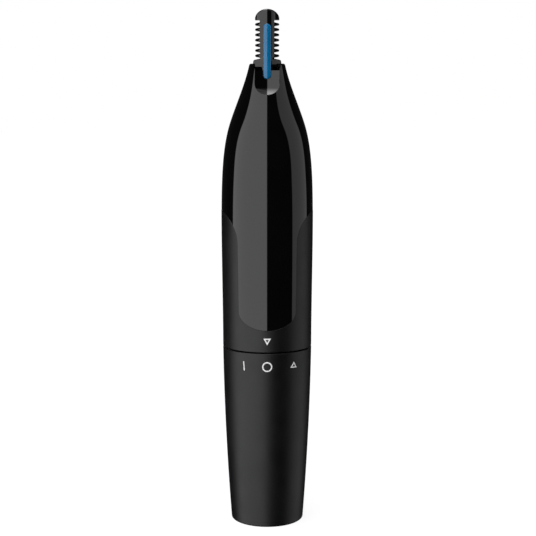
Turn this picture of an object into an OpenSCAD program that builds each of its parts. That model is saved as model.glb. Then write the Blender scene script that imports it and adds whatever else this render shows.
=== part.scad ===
/* [Outer shape] */
// Diameter of the battery cap just above the rounded edge of its base
base_d = 20.9; // [20.6:0.1:22]
// Radius of the rounded edge round the base
base_round = 0.5; // [0.3:0.1:1.2]
// Height of the battery cap, from the base to the twist seam
cap_h = 51.2; // [50:0.1:54]
// Diameter at the twist seam
seam_d = 25.5; // [25.3:0.1:26]
// Open gap of the twist seam between cap and body
seam_gap = 0.35; // [0.2:0.05:0.5]
// Length of the body, from the twist seam to the collar's rim
body_h = 80.2; // [78:0.1:83]
// Diameter of the body where it is widest
belly_d = 26.15; // [26:0.05:27]
// Height of the shoulder curve between the widest part and the neck
shoulder_h = 27; // [25:0.5:30]
// Diameter where the shoulder runs into the neck
neck_d = 20.65; // [20:0.05:21.4]
// Height of the neck, from the shoulder to the collar's rim
neck_h = 15.85; // [15:0.05:17]
// Radius that the neck loses for each millimetre of height at its foot
neck_slope = 0.346; // [0.33:0.002:0.37]
// Diameter of the collar's rim
collar_d = 10.15; // [9.8:0.05:11]
// Radius that the neck loses for each millimetre of height at the rim
collar_slope = 0.21; // [0.18:0.01:0.3]
// Radius of the rounded edge of the collar's rim
collar_round = 0.4; // [0.2:0.05:0.5]

/* [Walls and fits] */
// Wall of the housing, grip skin included
housing_wall = 2.1; // [1.9:0.05:2.2]
// Wall of the cap round its mouth
cap_wall = 1.7; // [1.5:0.05:1.8]
// Wall of the cap round its base
cap_foot_wall = 1.0; // [0.8:0.05:1.1]
// Thickness of the cap's floor
cap_floor = 1.9; // [1.5:0.1:2.5]
// Height of the cap's narrow well above its floor
well_h = 17; // [12:0.5:20]
// Radial clearance of parts that turn or slide in each other
run_fit = 0.05; // [0.03:0.01:0.08]
// Radial clearance of parts that are pushed together
slip_fit = 0.1; // [0.06:0.01:0.15]
// Clearance between faces that lie on each other
touch = 0.02; // [0.01:0.01:0.05]
// Radial clearance of the shafts in their bushes
bush_fit = 0.03; // [0.02:0.01:0.05]
// Free space at the ends of the turning parts
end_play = 0.3; // [0.2:0.05:0.35]

/* [Grip and front tongue] */
// Thickness of the grip skin
grip_t = 0.8; // [0.5:0.05:1]
// Height of the grip's upper edge above the twist seam
grip_h = 39.15; // [36:0.25:42]
// Width of the gloss tongue down the front of the grip
tongue_w = 16.5; // [12:0.1:18]
// Height of the tongue's lower end above the twist seam
tongue_up = 6.25; // [5:0.05:9]
// Height of the tongue's rounded end
tongue_end = 4.8; // [3:0.1:8]
// Radius at which the tongue's sides flare out at the grip's upper edge
flare_r = 11; // [10:0.5:14]
// Height of the flare
flare_h = 8.9; // [6:0.1:9]

/* [Scoop in the neck] */
// Width of the scoop
scoop_w = 7.1; // [6.6:0.1:7.4]
// Height of the scoop below the collar's rim
scoop_h = 8.65; // [7.5:0.05:9.5]
// Height of the scoop's rounded end
scoop_end = 3.0; // [2:0.1:4]
// Distance of the scoop's floor from the middle axis
scoop_floor = 3.6; // [3.5:0.05:3.9]
// Radius of the hollow curve of the scoop's floor
scoop_r = 7; // [6:0.25:9]

/* [Cell and spring] */
// Diameter of the cell
cell_d = 14.5; // [13.5:0.1:14.7]
// Length of the cell, with its nub
cell_l = 50.5; // [49.5:0.1:51]
// Diameter of the cell's nub
nub_d = 5.5; // [4:0.1:6]
// Height of the cell's nub
nub_h = 1.0; // [0.8:0.1:1.5]
// Radial clearance round the cell
cell_fit = 0.2; // [0.1:0.05:0.3]
// Wall of the tube that holds the cell
tube_wall = 0.75; // [0.6:0.05:0.8]
// Height of the cell tube's open end above the cap's base
tube_end = 14; // [10:0.5:30]
// Height of the spring with the cap on
spring_h = 3.9; // [3.4:0.1:4.4]
// Diameter of the spring's wire
spring_wire = 0.6; // [0.4:0.05:0.7]
// Diameter of the spring's lowest turn, middle to middle of the wire
spring_low_d = 12; // [10:0.5:14]
// Diameter of the spring's highest turn, middle to middle of the wire
spring_high_d = 6.4; // [5:0.2:8]
// Number of the spring's turns
spring_turns = 3; // [2:0.5:3]

/* [Twist switch] */
// Turn of the cap from off to on
twist_on = 31; // [25:1:35]
// Turn of the cap from off to open
twist_open = 36; // [30:1:45]
// Length of the spigot below the twist seam
spigot_h = 14.3; // [13.5:0.1:17]
// Gap in the cap below the spigot
spigot_gap = 0.5; // [0.3:0.1:1]
// Wall of the spigot at the switch ring's seat
spigot_wall = 0.9; // [0.7:0.05:1]
// Height of the switch ring
ring_h = 5.6; // [4.5:0.1:6]
// Wall of the switch ring
ring_t = 0.6; // [0.5:0.05:0.7]
// Height by which the lip under the ring stands out from the ring's seat
lip_out = 0.3; // [0.2:0.05:0.35]
// Width of the lip under the ring
lip_h = 0.8; // [0.6:0.1:1.2]
// Half the angle that the stop lug fills
lug_half = 4; // [3:0.5:6]
// Angle left free between the lug and each stop of the ring
stop_slack = 0.5; // [0.2:0.1:1]
// Height of the stop lug
lug_h = 2; // [1:0.25:3]
// Width of the ring's keys in the cap
key_w = 2; // [1.5:0.1:3]
// Height by which the keys stand out from the ring
key_out = 0.4; // [0.2:0.05:0.5]
// Thickness of the seal rings
seal_wire = 1.0; // [0.8:0.05:1]

/* [Contacts] */
// Thickness of the contact strips
strip_t = 0.3; // [0.2:0.05:0.35]
// Width of the contact tails
tail_w = 2.4; // [1.6:0.1:3]
// Half the angle that the riser and the leaf fill
strip_half = 9; // [6:0.5:12]
// Height of the riser in the cap
riser_h = 42; // [40:0.5:44]
// Least length of the riser inside the spigot
riser_lap = 5.8; // [4:0.1:8]
// Gap between riser and leaf where they meet
contact_gap = 0.1; // [0.05:0.01:0.15]
// Gap between the riser and the spigot's inside
riser_gap = 0.2; // [0.15:0.01:0.3]
// Diameter of the plate over the cell's nub
plate_d = 6.6; // [6:0.1:8]
// Diameter of the hole in the washer under the spring
washer_hole_d = 5.5; // [4:0.1:8]
// Gap between the contact tails and the motor
tail_gap = 0.7; // [0.4:0.1:1]
// Height of the leaf's lower end above the spigot's end
leaf_up = 1; // [0.5:0.1:2]

/* [Chassis] */
// Thickness of the partition between cell and motor
partition_t = 3.5; // [3:0.1:4.5]
// Least height of the partition above the twist seam
seam_cover = 4; // [3:0.1:6]
// Space between the partition and the motor
motor_gap = 3.5; // [3:0.1:4.5]
// Thickness of the carrier's flange
flange_t = 2.5; // [2:0.1:2.8]
// Thickness of the carrier's plate over the motor
top_plate_t = 2; // [1.6:0.1:2.5]
// Width of the carrier's two windows
window_w = 6; // [4.5:0.1:8]
// Wall between the motor and the windows
window_wall = 1.2; // [0.8:0.1:1.2]
// Height of the carrier's rim over the windows
window_rim = 1; // [0.6:0.1:2]
// Diameter of the chassis screws' shanks
chassis_screw_d = 1.4; // [1.2:0.1:1.6]
// Diameter of the chassis screws' heads
chassis_head_d = 2.6; // [2.2:0.1:2.7]
// Depth of the chassis screws in the partition
chassis_screw_in = 2.6; // [2:0.1:2.8]
// Height of the screws' heads
screw_head_h = 1.2; // [0.8:0.1:1.4]

/* [Motor] */
// Diameter of the motor's can across its round sides
can_d = 15.5; // [15:0.1:16]
// Width of the motor's can across its flats
can_flat = 12; // [11.6:0.1:12.1]
// Height of the motor's can
can_h = 20; // [19:0.5:22]
// Wall of the motor's can
can_wall = 0.8; // [0.6:0.05:0.9]
// Height of the motor's end cap
end_cap_h = 2; // [1.8:0.1:2.4]
// Diameter of the boss on the motor
boss_d = 6; // [5:0.1:6.4]
// Height of the boss on the motor
boss_h = 1.6; // [1:0.1:1.8]
// Diameter of the motor's shaft
shaft_d = 1.5; // [1.2:0.1:1.6]
// Outer diameter of the motor's bushes
motor_bush_d = 3.4; // [3:0.1:3.8]
// Diameter of the armature
armature_d = 9.8; // [9:0.1:10]
// Height of the armature's core
core_h = 9; // [7:0.5:9.5]
// Thickness of the winding's end turns
end_turn_h = 1.2; // [0.8:0.1:1.4]
// Diameter of the slots in the armature
slot_d = 3.4; // [2.6:0.1:3.6]
// Distance of the slots from the shaft's middle
slot_at = 3.2; // [3:0.05:3.4]
// Width of the slots' mouths
slot_mouth = 0.8; // [0.6:0.1:1.2]
// Thickness of the magnets
magnet_t = 1.5; // [1.1:0.1:1.6]
// Half the angle that a magnet fills
magnet_half = 42; // [35:1:44]
// Diameter of the commutator
commutator_d = 4.4; // [4:0.1:4.8]
// Height of the commutator
commutator_h = 2.4; // [2:0.1:2.6]
// Length of the motor's terminals below its end cap
terminal_l = 2.4; // [1.5:0.1:2.8]
// Diameter of the motor screws' shanks
motor_screw_d = 1.4; // [1.2:0.1:1.6]
// Diameter of the motor screws' heads
motor_head_d = 2.4; // [2:0.1:2.6]
// Distance of the motor screws from the shaft's middle
motor_screw_at = 6; // [5.9:0.05:6.1]

/* [Drive] */
// Diameter of the drive coupling
coupling_d = 6; // [5.6:0.1:6.4]
// Height of the drive coupling
coupling_h = 10; // [9.5:0.1:11]
// Length of shaft in the coupling
shaft_grip = 5.7; // [5:0.1:6]
// Width of the coupling's slot
dog_slot = 1.5; // [1.3:0.1:2]
// Clearance of the spindle's tongue in the coupling's slot, on each side
dog_fit = 0.1; // [0.05:0.01:0.15]
// Width of the spindle's tongue
dog_w = 4.8; // [4:0.1:5]
// Wall of the tower over the coupling
tower_wall = 1.2; // [0.8:0.1:1.2]
// Radial space round the coupling
coupling_gap = 0.4; // [0.3:0.05:0.5]
// Diameter of the cutter's spindle
spindle_d = 2; // [1.8:0.05:2.1]
// Outer diameter of the spindle's bushes
spindle_bush_d = 3.8; // [3.4:0.1:4]
// Length of the spindle's bushes
spindle_bush_h = 3.6; // [3:0.1:4.5]
// Diameter of the spindle's thrust collar
thrust_d = 3.4; // [3:0.1:4]
// Height of the spindle's thrust collar
thrust_h = 0.8; // [0.6:0.1:1]
// Height of the shaft seal
seal_h = 2; // [1.5:0.1:2.2]
// Depth of the guard's socket below the skirt's seat
socket_h = 6.6; // [6:0.1:7]
// Width of the shaft seal's rim
seal_rim = 0.7; // [0.5:0.05:0.9]
// Thickness of the shaft seal's web
seal_web = 0.8; // [0.5:0.05:1]
// Thickness of the shaft seal's lip
seal_lip = 0.4; // [0.3:0.05:0.5]

/* [Guard and cutter] */
// Height of the guard's tip above the collar's rim
guard_h = 14.95; // [14.5:0.05:16]
// Diameter of the guard's comb
comb_d = 6.7; // [6.4:0.05:7]
// Height of the domed tip
dome_h = 2.8; // [2.4:0.1:3.2]
// Height of the straight edge below the dome
dome_skirt = 0.25; // [0.1:0.05:0.5]
// Radius of the tip's edges, front and back
dome_edge = 0.6; // [0.4:0.1:1.2]
// Number of teeth on each side
teeth = 7; // [5:1:7]
// Distance from tooth to tooth
tooth_pitch = 1.44; // [1.4:0.01:1.5]
// Height of the gaps between the teeth, at the comb's outside
tooth_gap = 0.8; // [0.6:0.01:0.9]
// Height of the gaps at their inner end
gap_in = 0.44; // [0.3:0.01:0.5]
// Width of the comb between the gaps
comb_core = 3.96; // [3.8:0.02:4.2]
// Diameter of the guard's bore
guard_bore = 4.5; // [4.3:0.05:4.6]
// Diameter of the guard's skirt in the collar
skirt_d = 8; // [7.8:0.1:8.2]
// Depth of the skirt's seat below the collar's rim
skirt_in = 1.95; // [1.8:0.05:2.1]
// Height of the skirt's straight side
skirt_h = 2.4; // [1.9:0.05:2.6]
// Height of the slope from skirt to comb
skirt_slope = 0.5; // [0.4:0.05:1]
// Diameter of the guard's plug in the socket
plug_d = 5.6; // [5.4:0.05:5.7]
// Radial clearance between the cutter and the guard's bore
cutter_fit = 0.15; // [0.1:0.01:0.2]
// Diameter of the cutter's hub
hub_d = 2.7; // [2.5:0.1:3]
// Depth of the cutter's foot below the skirt's seat
cutter_drop = 3.6; // [3:0.1:5]
// Number of the cutter's blades
blades = 3; // [2:1:4]
// Thickness of the cutter's blades
blade_t = 0.5; // [0.3:0.05:0.6]
// Turn of the blades over their length
blade_twist = 60; // [0:5:90]
// Diameter of the spindle's pivot in the tip
pivot_d = 1.2; // [1:0.1:1.4]
// Length of the spindle's pivot
pivot_h = 1.3; // [0.8:0.1:1.4]
// Thickness of the guard's tip over the cutter
tip_t = 2.8; // [2.6:0.1:3.2]
// Width of the front strip
strip_bar_w = 2.2; // [1.8:0.1:2.4]
// Length of the front strip
strip_bar_l = 15.2; // [14:0.1:15.6]
// Depth of the strip's upper end below the guard's tip
strip_bar_down = 4.1; // [3.8:0.1:5]
// Distance of the strip's front from the middle axis
strip_front = 4.55; // [4.4:0.05:4.8]
// Distance of the strip's seat in the guard from the middle axis
strip_seat = 2.9; // [2.7:0.05:3]
// Gap between the strip's free end and the scoop's floor
strip_lift = 0.25; // [0.2:0.01:0.3]

/* [Hidden] */
$fn = 64;
eps = 0.01;
far = 60;
curve_steps = 8;
dome_steps = 16;
// Distance by which a rounded end's curve starts outside the side that it runs into
edge_margin = 0.06;
// Lengths of the curves' handles, as shares of the heights that the curves climb
shoulder_foot = 0.573;
shoulder_head = 0.191;
neck_foot = 0.357;
neck_head = 0.363;
// How far the cap's outline bows out from a straight taper
cap_bow = 0.66;

// Heights along the axis, from the base up
body_z = cap_h + seam_gap;
collar_z = body_z + body_h;
neck_z = collar_z - neck_h;
belly_z = neck_z - shoulder_h;
tip_z = collar_z + guard_h;
washer_z = cap_floor + touch;
spring_z = washer_z + strip_t + touch;
partition_z = max(spring_z + spring_h + cell_l + strip_t + 3 * touch, body_z + seam_cover);
plate_z = partition_z - touch - strip_t;
cell_z = plate_z - touch - cell_l;
spring_l = cell_z - touch - spring_z;
carrier_z = partition_z + partition_t + touch;
motor_z = partition_z + partition_t + motor_gap;
can_z = motor_z + end_cap_h + touch;
can_top = can_z + can_h;
top_plate_z = can_top + slip_fit;
tower_z = top_plate_z + top_plate_t;
coupling_z = tower_z + 2 * end_play;
shaft_top = coupling_z + shaft_grip;
dog_z = shaft_top + end_play;
coupling_top = coupling_z + coupling_h;
thrust_z = coupling_top + 2 * end_play;
low_bush_z = thrust_z + thrust_h + end_play;
low_bush_top = low_bush_z + spindle_bush_h;
seat_z = collar_z - skirt_in;
seal_z = seat_z - socket_h - seal_h - end_play;
high_bush_z = seal_z - touch - spindle_bush_h;
roof_z = high_bush_z;
comb_z = seat_z + touch + skirt_h + skirt_slope;
bore_top = tip_z - tip_t;
cutter_z = seat_z - cutter_drop;
cutter_top = bore_top - end_play;
spindle_top = cutter_top + slip_fit;
pivot_top = spindle_top + pivot_h;
strip_top = tip_z - strip_bar_down;
strip_end = strip_top - strip_bar_l;
spigot_end = body_z - spigot_h;
riser_top = max(washer_z + riser_h, spigot_end + riser_lap);

// Radii, from the outside in
base_r = base_d / 2;
seam_r = seam_d / 2;
belly_r = belly_d / 2;
neck_r = neck_d / 2;
collar_r = collar_d / 2;
house_r = seam_r - housing_wall;
chassis_r = house_r - slip_fit;
mouth_r = seam_r - cap_wall;
ring_out_r = mouth_r - run_fit;
ring_in_r = ring_out_r - ring_t;
ring_seat_r = ring_in_r - run_fit;
land_r = ring_seat_r + lip_out;
spigot_in_r = ring_seat_r - spigot_wall;
well_r = base_r - cap_foot_wall;
riser_out_r = spigot_in_r - riser_gap;
riser_in_r = riser_out_r - strip_t;
leaf_out_r = riser_in_r - contact_gap;
leaf_in_r = leaf_out_r - strip_t;
tube_in_r = cell_d / 2 + cell_fit;
tube_out_r = tube_in_r + tube_wall;
terminal_x = commutator_d / 2 + contact_gap;
tail_x = terminal_x + strip_t + touch;
socket_r = plug_d / 2 + run_fit;
cutter_r = guard_bore / 2 - cutter_fit;
bush_bore_r = spindle_d / 2 + bush_fit;

// Ring, seal, screw and armature places
ring_z = cap_h - slip_fit - ring_h;
lip_top = ring_z - slip_fit;
cap_seal_z = lip_top - lip_h - seal_wire / 2;
chassis_seal_z = partition_z + partition_t / 2;
window_y = can_flat / 2 + slip_fit + window_wall;
chassis_screw_y = window_y + chassis_head_d / 2 + slip_fit;
commutator_z = can_z + 2 * end_play;
low_turns_z = commutator_z + commutator_h + end_play;
core_z = low_turns_z + end_turn_h + slip_fit;
high_turns_z = core_z + core_h + slip_fit;

// Points after the first along a cubic curve
function bezier(p0, p1, p2, p3) = [
    for (i = [1 : curve_steps])
        let (t = i / curve_steps, u = 1 - t)
            u * u * u * p0 + 3 * u * u * t * p1 + 3 * u * t * t * p2 + t * t * t * p3
];

// Points of an arc from one angle to another
function arc(centre, r, from, to, steps = 6) = [
    for (i = [0 : steps])
        let (a = from + (to - from) * i / steps) centre + r * [cos(a), sin(a)]
];

// Outline of a slot that stands on a rounded end, as wide as given, up to the height top
function slot_outline(w, foot, end, top) = concat(
    [[w / 2, top], [-w / 2, top]],
    [for (a = [180 : 15 : 360]) [w / 2 * cos(a), foot + end + end * sin(a)]]
);

// Outer curve of the cap, from the floor's edge to the seam: a shallow bow
cap_curve = concat(
    arc([base_r - base_round, base_round], base_round, -90, 0),
    [for (i = [1 : curve_steps])
        let (t = i / curve_steps)
            [base_r + (seam_r - base_r) * ((1 + cap_bow) * t - cap_bow * t * t),
                base_round + (cap_h - base_round) * t]]
);

// Outer curve of the body, from the seam to the collar's rim
belly_curve = [
    for (i = [0 : curve_steps])
        let (t = i / curve_steps)
            [seam_r + (belly_r - seam_r) * t * t * (3 - 2 * t), body_z + (belly_z - body_z) * t]
];
shoulder_curve = bezier(
    [belly_r, belly_z],
    [belly_r, belly_z + shoulder_foot * shoulder_h],
    [neck_r + neck_slope * shoulder_head * shoulder_h, neck_z - shoulder_head * shoulder_h],
    [neck_r, neck_z]
);
neck_curve = bezier(
    [neck_r, neck_z],
    [neck_r - neck_slope * neck_foot * neck_h, neck_z + neck_foot * neck_h],
    [collar_r + collar_slope * neck_head * neck_h, collar_z - neck_head * neck_h],
    [collar_r, collar_z - collar_round]
);
rim_curve = arc([collar_r - collar_round, collar_z - collar_round], collar_round, 15, 90, 4);
body_curve = concat(belly_curve, shoulder_curve, neck_curve, rim_curve);

// Solid of turning under a curve, with its radii reduced by inset
module turned(curve, inset = 0) {
    first = curve[0];
    last = curve[len(curve) - 1];
    rotate_extrude()
        polygon(concat(
            [[0, last[1]], [0, first[1]]],
            [for (p = curve) [p[0] - inset, p[1]]]
        ));
}

// Ring of rectangular section
module tube(r_out, r_in, z0, z1) {
    difference() {
        translate([0, 0, z0]) cylinder(r = r_out, h = z1 - z0);
        translate([0, 0, z0 - eps]) cylinder(r = r_in, h = z1 - z0 + 2 * eps);
    }
}

// Part of such a ring, round a middle angle
module tube_arc(r_out, r_in, z0, z1, middle, half) {
    rotate([0, 0, middle - half])
        rotate_extrude(angle = 2 * half)
            translate([r_in, z0]) square([r_out - r_in, z1 - z0]);
}

// Round seal ring
module seal_ring(middle_r, z) {
    rotate_extrude()
        translate([middle_r, z]) circle(d = seal_wire);
}

// Box between two corners
module block(low, high) {
    translate(low) cube(high - low);
}

// Front outline, seen along +Y, carried from the axis out to the front
module front_prism() {
    rotate([90, 0, 0])
        linear_extrude(height = far) children();
}

// Round body with two flats
module flatted(d, flat, h) {
    intersection() {
        cylinder(d = d, h = h);
        translate([-d, -flat / 2, -eps]) cube([2 * d, flat, h + 2 * eps]);
    }
}

// Screw with a round head, its head's seat at the origin
module screw(d, head_d, length) {
    translate([0, 0, -length]) cylinder(d = d, h = length + eps);
    cylinder(d = head_d, h = screw_head_h);
}

// Outline of the gloss tongue, grown by a margin
module tongue_outline(grow) {
    w = tongue_w + 2 * grow;
    top = body_z + grip_h;
    polygon(slot_outline(w, body_z + tongue_up - grow, tongue_end, top + 1));
    difference() {
        translate([-far / 2, top - flare_h]) square([far, flare_h + 1]);
        for (side = [-1, 1])
            translate([side * (w / 2 + flare_r), top - flare_h]) circle(r = flare_r);
        for (side = [0, 1])
            mirror([side, 0])
                translate([w / 2 + flare_r, top - flare_h - 1]) square([far, flare_h + 2]);
    }
}

// Space of the grip skin: the body's skin up to the grip's edge, but not the tongue
module grip_space(depth, grow, top) {
    difference() {
        intersection() {
            turned(concat(belly_curve, shoulder_curve));
            translate([0, 0, body_z]) cylinder(r = far, h = top - body_z);
        }
        turned(concat([[seam_r, body_z - eps]], belly_curve, shoulder_curve), depth);
        front_prism() tongue_outline(grow);
    }
}

// Hollow in the neck's front that shows the guard's skirt and takes the strip's free end
module scoop() {
    outline = slot_outline(scoop_w, collar_z - scoop_h, scoop_end, collar_z + 1);
    intersection() {
        front_prism() polygon(outline);
        translate([0, -scoop_floor - scoop_r, collar_z - scoop_h - 1])
            cylinder(r = scoop_r, h = scoop_h + 2);
    }
    block([-scoop_w / 2, -far, seat_z], [scoop_w / 2, -skirt_d / 4, collar_z + 1]);
}

// Inside of the housing, up to the neck's core
module housing_hollow() {
    inside = [for (p = concat(belly_curve, shoulder_curve)) if (p[1] < roof_z) p];
    last = inside[len(inside) - 1];
    translate([0, 0, body_z - 1]) cylinder(r = house_r, h = 1 + eps);
    turned(concat(inside, [[last[0], roof_z]]), housing_wall);
}

module housing() {
    color("#0a0a0b")
        difference() {
            turned(body_curve);
            housing_hollow();
            grip_space(grip_t + touch, 0, body_z + grip_h + touch);
            translate([0, 0, seat_z]) cylinder(d = skirt_d + 2 * slip_fit, h = far);
            translate([0, 0, seal_z]) cylinder(r = socket_r, h = far);
            translate([0, 0, high_bush_z - 1]) cylinder(d = spindle_bush_d + 2 * touch, h = far);
            scoop();
        }
}

module grip_sleeve() {
    color("#242425") grip_space(grip_t, touch, body_z + grip_h);
}

// Stop lug between the ring's two stops, at the back
module stop_lug() {
    lug_top = ring_z + ring_h;
    tube_arc(ring_out_r - run_fit, ring_seat_r - slip_fit, lug_top - lug_h, lug_top, 90, lug_half);
}

module battery_holder() {
    color("#3a3b3d")
        difference() {
            union() {
                translate([0, 0, partition_z]) cylinder(r = chassis_r, h = partition_t);
                tube(chassis_r, spigot_in_r, body_z, partition_z + eps);
                tube(ring_seat_r, spigot_in_r, lip_top, body_z + eps);
                tube(land_r, spigot_in_r, spigot_end, lip_top);
                tube(tube_out_r, tube_in_r, tube_end, partition_z + eps);
                stop_lug();
            }
            tube(far, mouth_r - run_fit - seal_wire - touch, cap_seal_z - seal_wire / 2 - touch,
                cap_seal_z + seal_wire / 2 + touch);
            tube(far, house_r - touch - seal_wire - touch, chassis_seal_z - seal_wire / 2 - touch,
                chassis_seal_z + seal_wire / 2 + touch);
            block([tail_x - slip_fit, -tail_w / 2 - slip_fit, partition_z - 1],
                [tail_x + strip_t + slip_fit, tail_w / 2 + slip_fit, carrier_z + 1]);
            tube_arc(leaf_out_r + slip_fit, leaf_in_r - slip_fit, partition_z - 1, carrier_z + 1,
                180, strip_half + 1);
            for (side = [-1, 1])
                translate([0, side * chassis_screw_y, carrier_z - chassis_screw_in - slip_fit])
                    cylinder(d = chassis_screw_d + 2 * touch, h = far);
        }
}

module motor_carrier() {
    pocket_d = can_d + 2 * slip_fit;
    pocket_flat = can_flat + 2 * slip_fit;
    tower_r = coupling_d / 2 + coupling_gap;
    color("#4a4b4e")
        difference() {
            union() {
                translate([0, 0, carrier_z]) cylinder(r = chassis_r, h = tower_z - carrier_z);
                translate([0, 0, tower_z - eps])
                    cylinder(r = tower_r + tower_wall, h = low_bush_top - tower_z + eps);
            }
            translate([0, 0, carrier_z - 1]) flatted(pocket_d, pocket_flat, top_plate_z - carrier_z + 1);
            intersection() {
                translate([0, 0, carrier_z - 1])
                    cylinder(r = leaf_out_r + end_play, h = motor_z - carrier_z + 1);
                block([-far, -pocket_flat / 2, 0], [far, pocket_flat / 2, far * 2]);
            }
            for (side = [-1, 1]) {
                mirror([0, side > 0 ? 1 : 0, 0])
                    block([-window_w / 2, window_y, carrier_z + flange_t],
                        [window_w / 2, far, top_plate_z - window_rim]);
                translate([0, side * chassis_screw_y, carrier_z - 1])
                    cylinder(d = chassis_screw_d + 2 * slip_fit, h = flange_t + 2);
                translate([side * motor_screw_at, 0, top_plate_z - 1])
                    cylinder(d = motor_screw_d + 2 * slip_fit, h = top_plate_t + 2);
            }
            translate([0, 0, top_plate_z - eps])
                cylinder(d = boss_d + 2 * slip_fit, h = top_plate_t + 2 * eps);
            translate([0, 0, tower_z]) cylinder(r = tower_r, h = low_bush_z - tower_z);
            translate([0, 0, low_bush_z - eps]) cylinder(d = spindle_bush_d + 2 * touch, h = far);
        }
}

module chassis_screws() {
    color("#b9bcc0")
        for (side = [-1, 1])
            translate([0, side * chassis_screw_y, carrier_z + flange_t + touch])
                screw(chassis_screw_d, chassis_head_d, flange_t + chassis_screw_in);
}

module chassis_seal() {
    color("#1b1b1b") seal_ring(house_r - touch - seal_wire / 2, chassis_seal_z);
}

module cap_seal() {
    color("#1b1b1b") seal_ring(mouth_r - run_fit - seal_wire / 2, cap_seal_z);
}

module positive_contact() {
    color("#c9a24a") {
        translate([0, 0, plate_z]) cylinder(d = plate_d, h = strip_t);
        block([tail_x, -tail_w / 2, plate_z], [tail_x + strip_t, tail_w / 2, motor_z - tail_gap]);
    }
}

// Leaf in the gap round the cell tube, then across the partition to the motor
module negative_contact() {
    tail_half = tail_w / 2;
    color("#c9a24a") {
        tube_arc(leaf_out_r, leaf_in_r, spigot_end + leaf_up, carrier_z + strip_t, 180, strip_half);
        block([-leaf_out_r + strip_t / 2, -tail_half, carrier_z],
            [-tail_x, tail_half, carrier_z + strip_t]);
        block([-tail_x - strip_t, -tail_half, carrier_z], [-tail_x, tail_half, motor_z - tail_gap]);
    }
}

module aa_cell() {
    color("#c4c6c8") {
        translate([0, 0, cell_z]) cylinder(d = cell_d, h = cell_l - nub_h);
        translate([0, 0, cell_z]) cylinder(d = nub_d, h = cell_l);
    }
}

module motor_can() {
    inner_d = can_d - 2 * can_wall;
    inner_flat = can_flat - 2 * can_wall;
    color("#a9adb2")
        difference() {
            union() {
                translate([0, 0, can_z]) flatted(can_d, can_flat, can_h);
                translate([0, 0, can_z]) cylinder(d = boss_d, h = can_h + boss_h);
            }
            translate([0, 0, can_z - 1]) flatted(inner_d, inner_flat, can_h - can_wall + 1);
            translate([0, 0, can_z]) cylinder(d = motor_bush_d + 2 * touch, h = far);
            for (side = [-1, 1])
                translate([side * motor_screw_at, 0, can_top - can_wall - 1])
                    cylinder(d = motor_screw_d + 2 * touch, h = far);
        }
}

module motor_end_cap() {
    color("#efe9da")
        difference() {
            translate([0, 0, motor_z]) flatted(can_d, can_flat, end_cap_h);
            translate([0, 0, motor_z - 1]) cylinder(d = motor_bush_d + 2 * touch, h = end_cap_h + 2);
            for (side = [0, 1])
                mirror([side, 0, 0])
                    block([terminal_x - touch, -tail_w / 2 - touch, motor_z - 1],
                        [terminal_x + strip_t + touch, tail_w / 2 + touch, can_z + 1]);
        }
}

module motor_magnets() {
    r_out = can_d / 2 - can_wall - slip_fit;
    color("#55565a")
        for (middle = [0, 180])
            tube_arc(r_out, r_out - magnet_t, low_turns_z, high_turns_z + end_turn_h, middle, magnet_half);
}

module motor_bushes() {
    bore_r = shaft_d / 2 + bush_fit;
    color("#b8863b") {
        tube(motor_bush_d / 2, bore_r, motor_z, motor_z + end_cap_h);
        tube(motor_bush_d / 2, bore_r, can_top - can_wall, can_top + boss_h);
    }
}

module motor_brushes() {
    color("#c98a5a")
        for (side = [0, 1])
            mirror([side, 0, 0])
                block([terminal_x, -tail_w / 2, motor_z - terminal_l],
                    [terminal_x + strip_t, tail_w / 2, commutator_z + commutator_h]);
}

module motor_screws() {
    color("#b9bcc0")
        for (side = [-1, 1])
            translate([side * motor_screw_at, 0, tower_z + touch])
                screw(motor_screw_d, motor_head_d, top_plate_t + can_wall + slip_fit);
}

module spindle_bushes() {
    color("#b8863b")
        for (z = [low_bush_z, high_bush_z])
            tube(spindle_bush_d / 2, bush_bore_r, z, z + spindle_bush_h);
}

// Seal on the spindle, with a lip that leans up round it
module shaft_seal() {
    color("#2a2a2c")
        rotate_extrude()
            polygon([
                [bush_bore_r + touch, seal_z + touch],
                [socket_r - touch, seal_z + touch],
                [socket_r - touch, seal_z + seal_h],
                [socket_r - seal_rim, seal_z + seal_h],
                [socket_r - seal_rim, seal_z + seal_web],
                [bush_bore_r + seal_lip, seal_z + seal_h],
                [bush_bore_r + touch, seal_z + seal_h]
            ]);
}

module motor_shaft() {
    shaft_z = motor_z - 2 * end_play;
    color("#d4d6d9") translate([0, 0, shaft_z]) cylinder(d = shaft_d, h = shaft_top - shaft_z);
}

module armature_core() {
    color("#8f9398")
        translate([0, 0, core_z])
            linear_extrude(height = core_h)
                difference() {
                    circle(d = armature_d);
                    circle(d = shaft_d + 2 * touch);
                    for (a = [60 : 120 : 300])
                        rotate(a) {
                            translate([slot_at, 0]) circle(d = slot_d);
                            translate([slot_at, -slot_mouth / 2]) square([armature_d, slot_mouth]);
                        }
                }
}

// Copper in the three slots, joined by the end turns
module armature_windings() {
    rod_r = slot_d / 2 - slip_fit;
    color("#b5652b") {
        for (a = [60 : 120 : 300])
            rotate(a)
                translate([slot_at, 0, low_turns_z + end_turn_h / 2])
                    cylinder(r = rod_r, h = high_turns_z - low_turns_z);
        for (z = [low_turns_z, high_turns_z])
            tube(armature_d / 2, shaft_d / 2 + end_play, z, z + end_turn_h);
    }
}

module commutator() {
    color("#c77f45")
        tube(commutator_d / 2, shaft_d / 2 + touch, commutator_z, commutator_z + commutator_h);
}

module drive_coupling() {
    color("#e8e6df")
        difference() {
            translate([0, 0, coupling_z]) cylinder(d = coupling_d, h = coupling_h);
            translate([0, 0, coupling_z - 1])
                cylinder(d = shaft_d + 2 * touch, h = dog_z - coupling_z + 1 + eps);
            block([-far, -dog_slot / 2, dog_z], [far, dog_slot / 2, coupling_top + 1]);
        }
}

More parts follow.
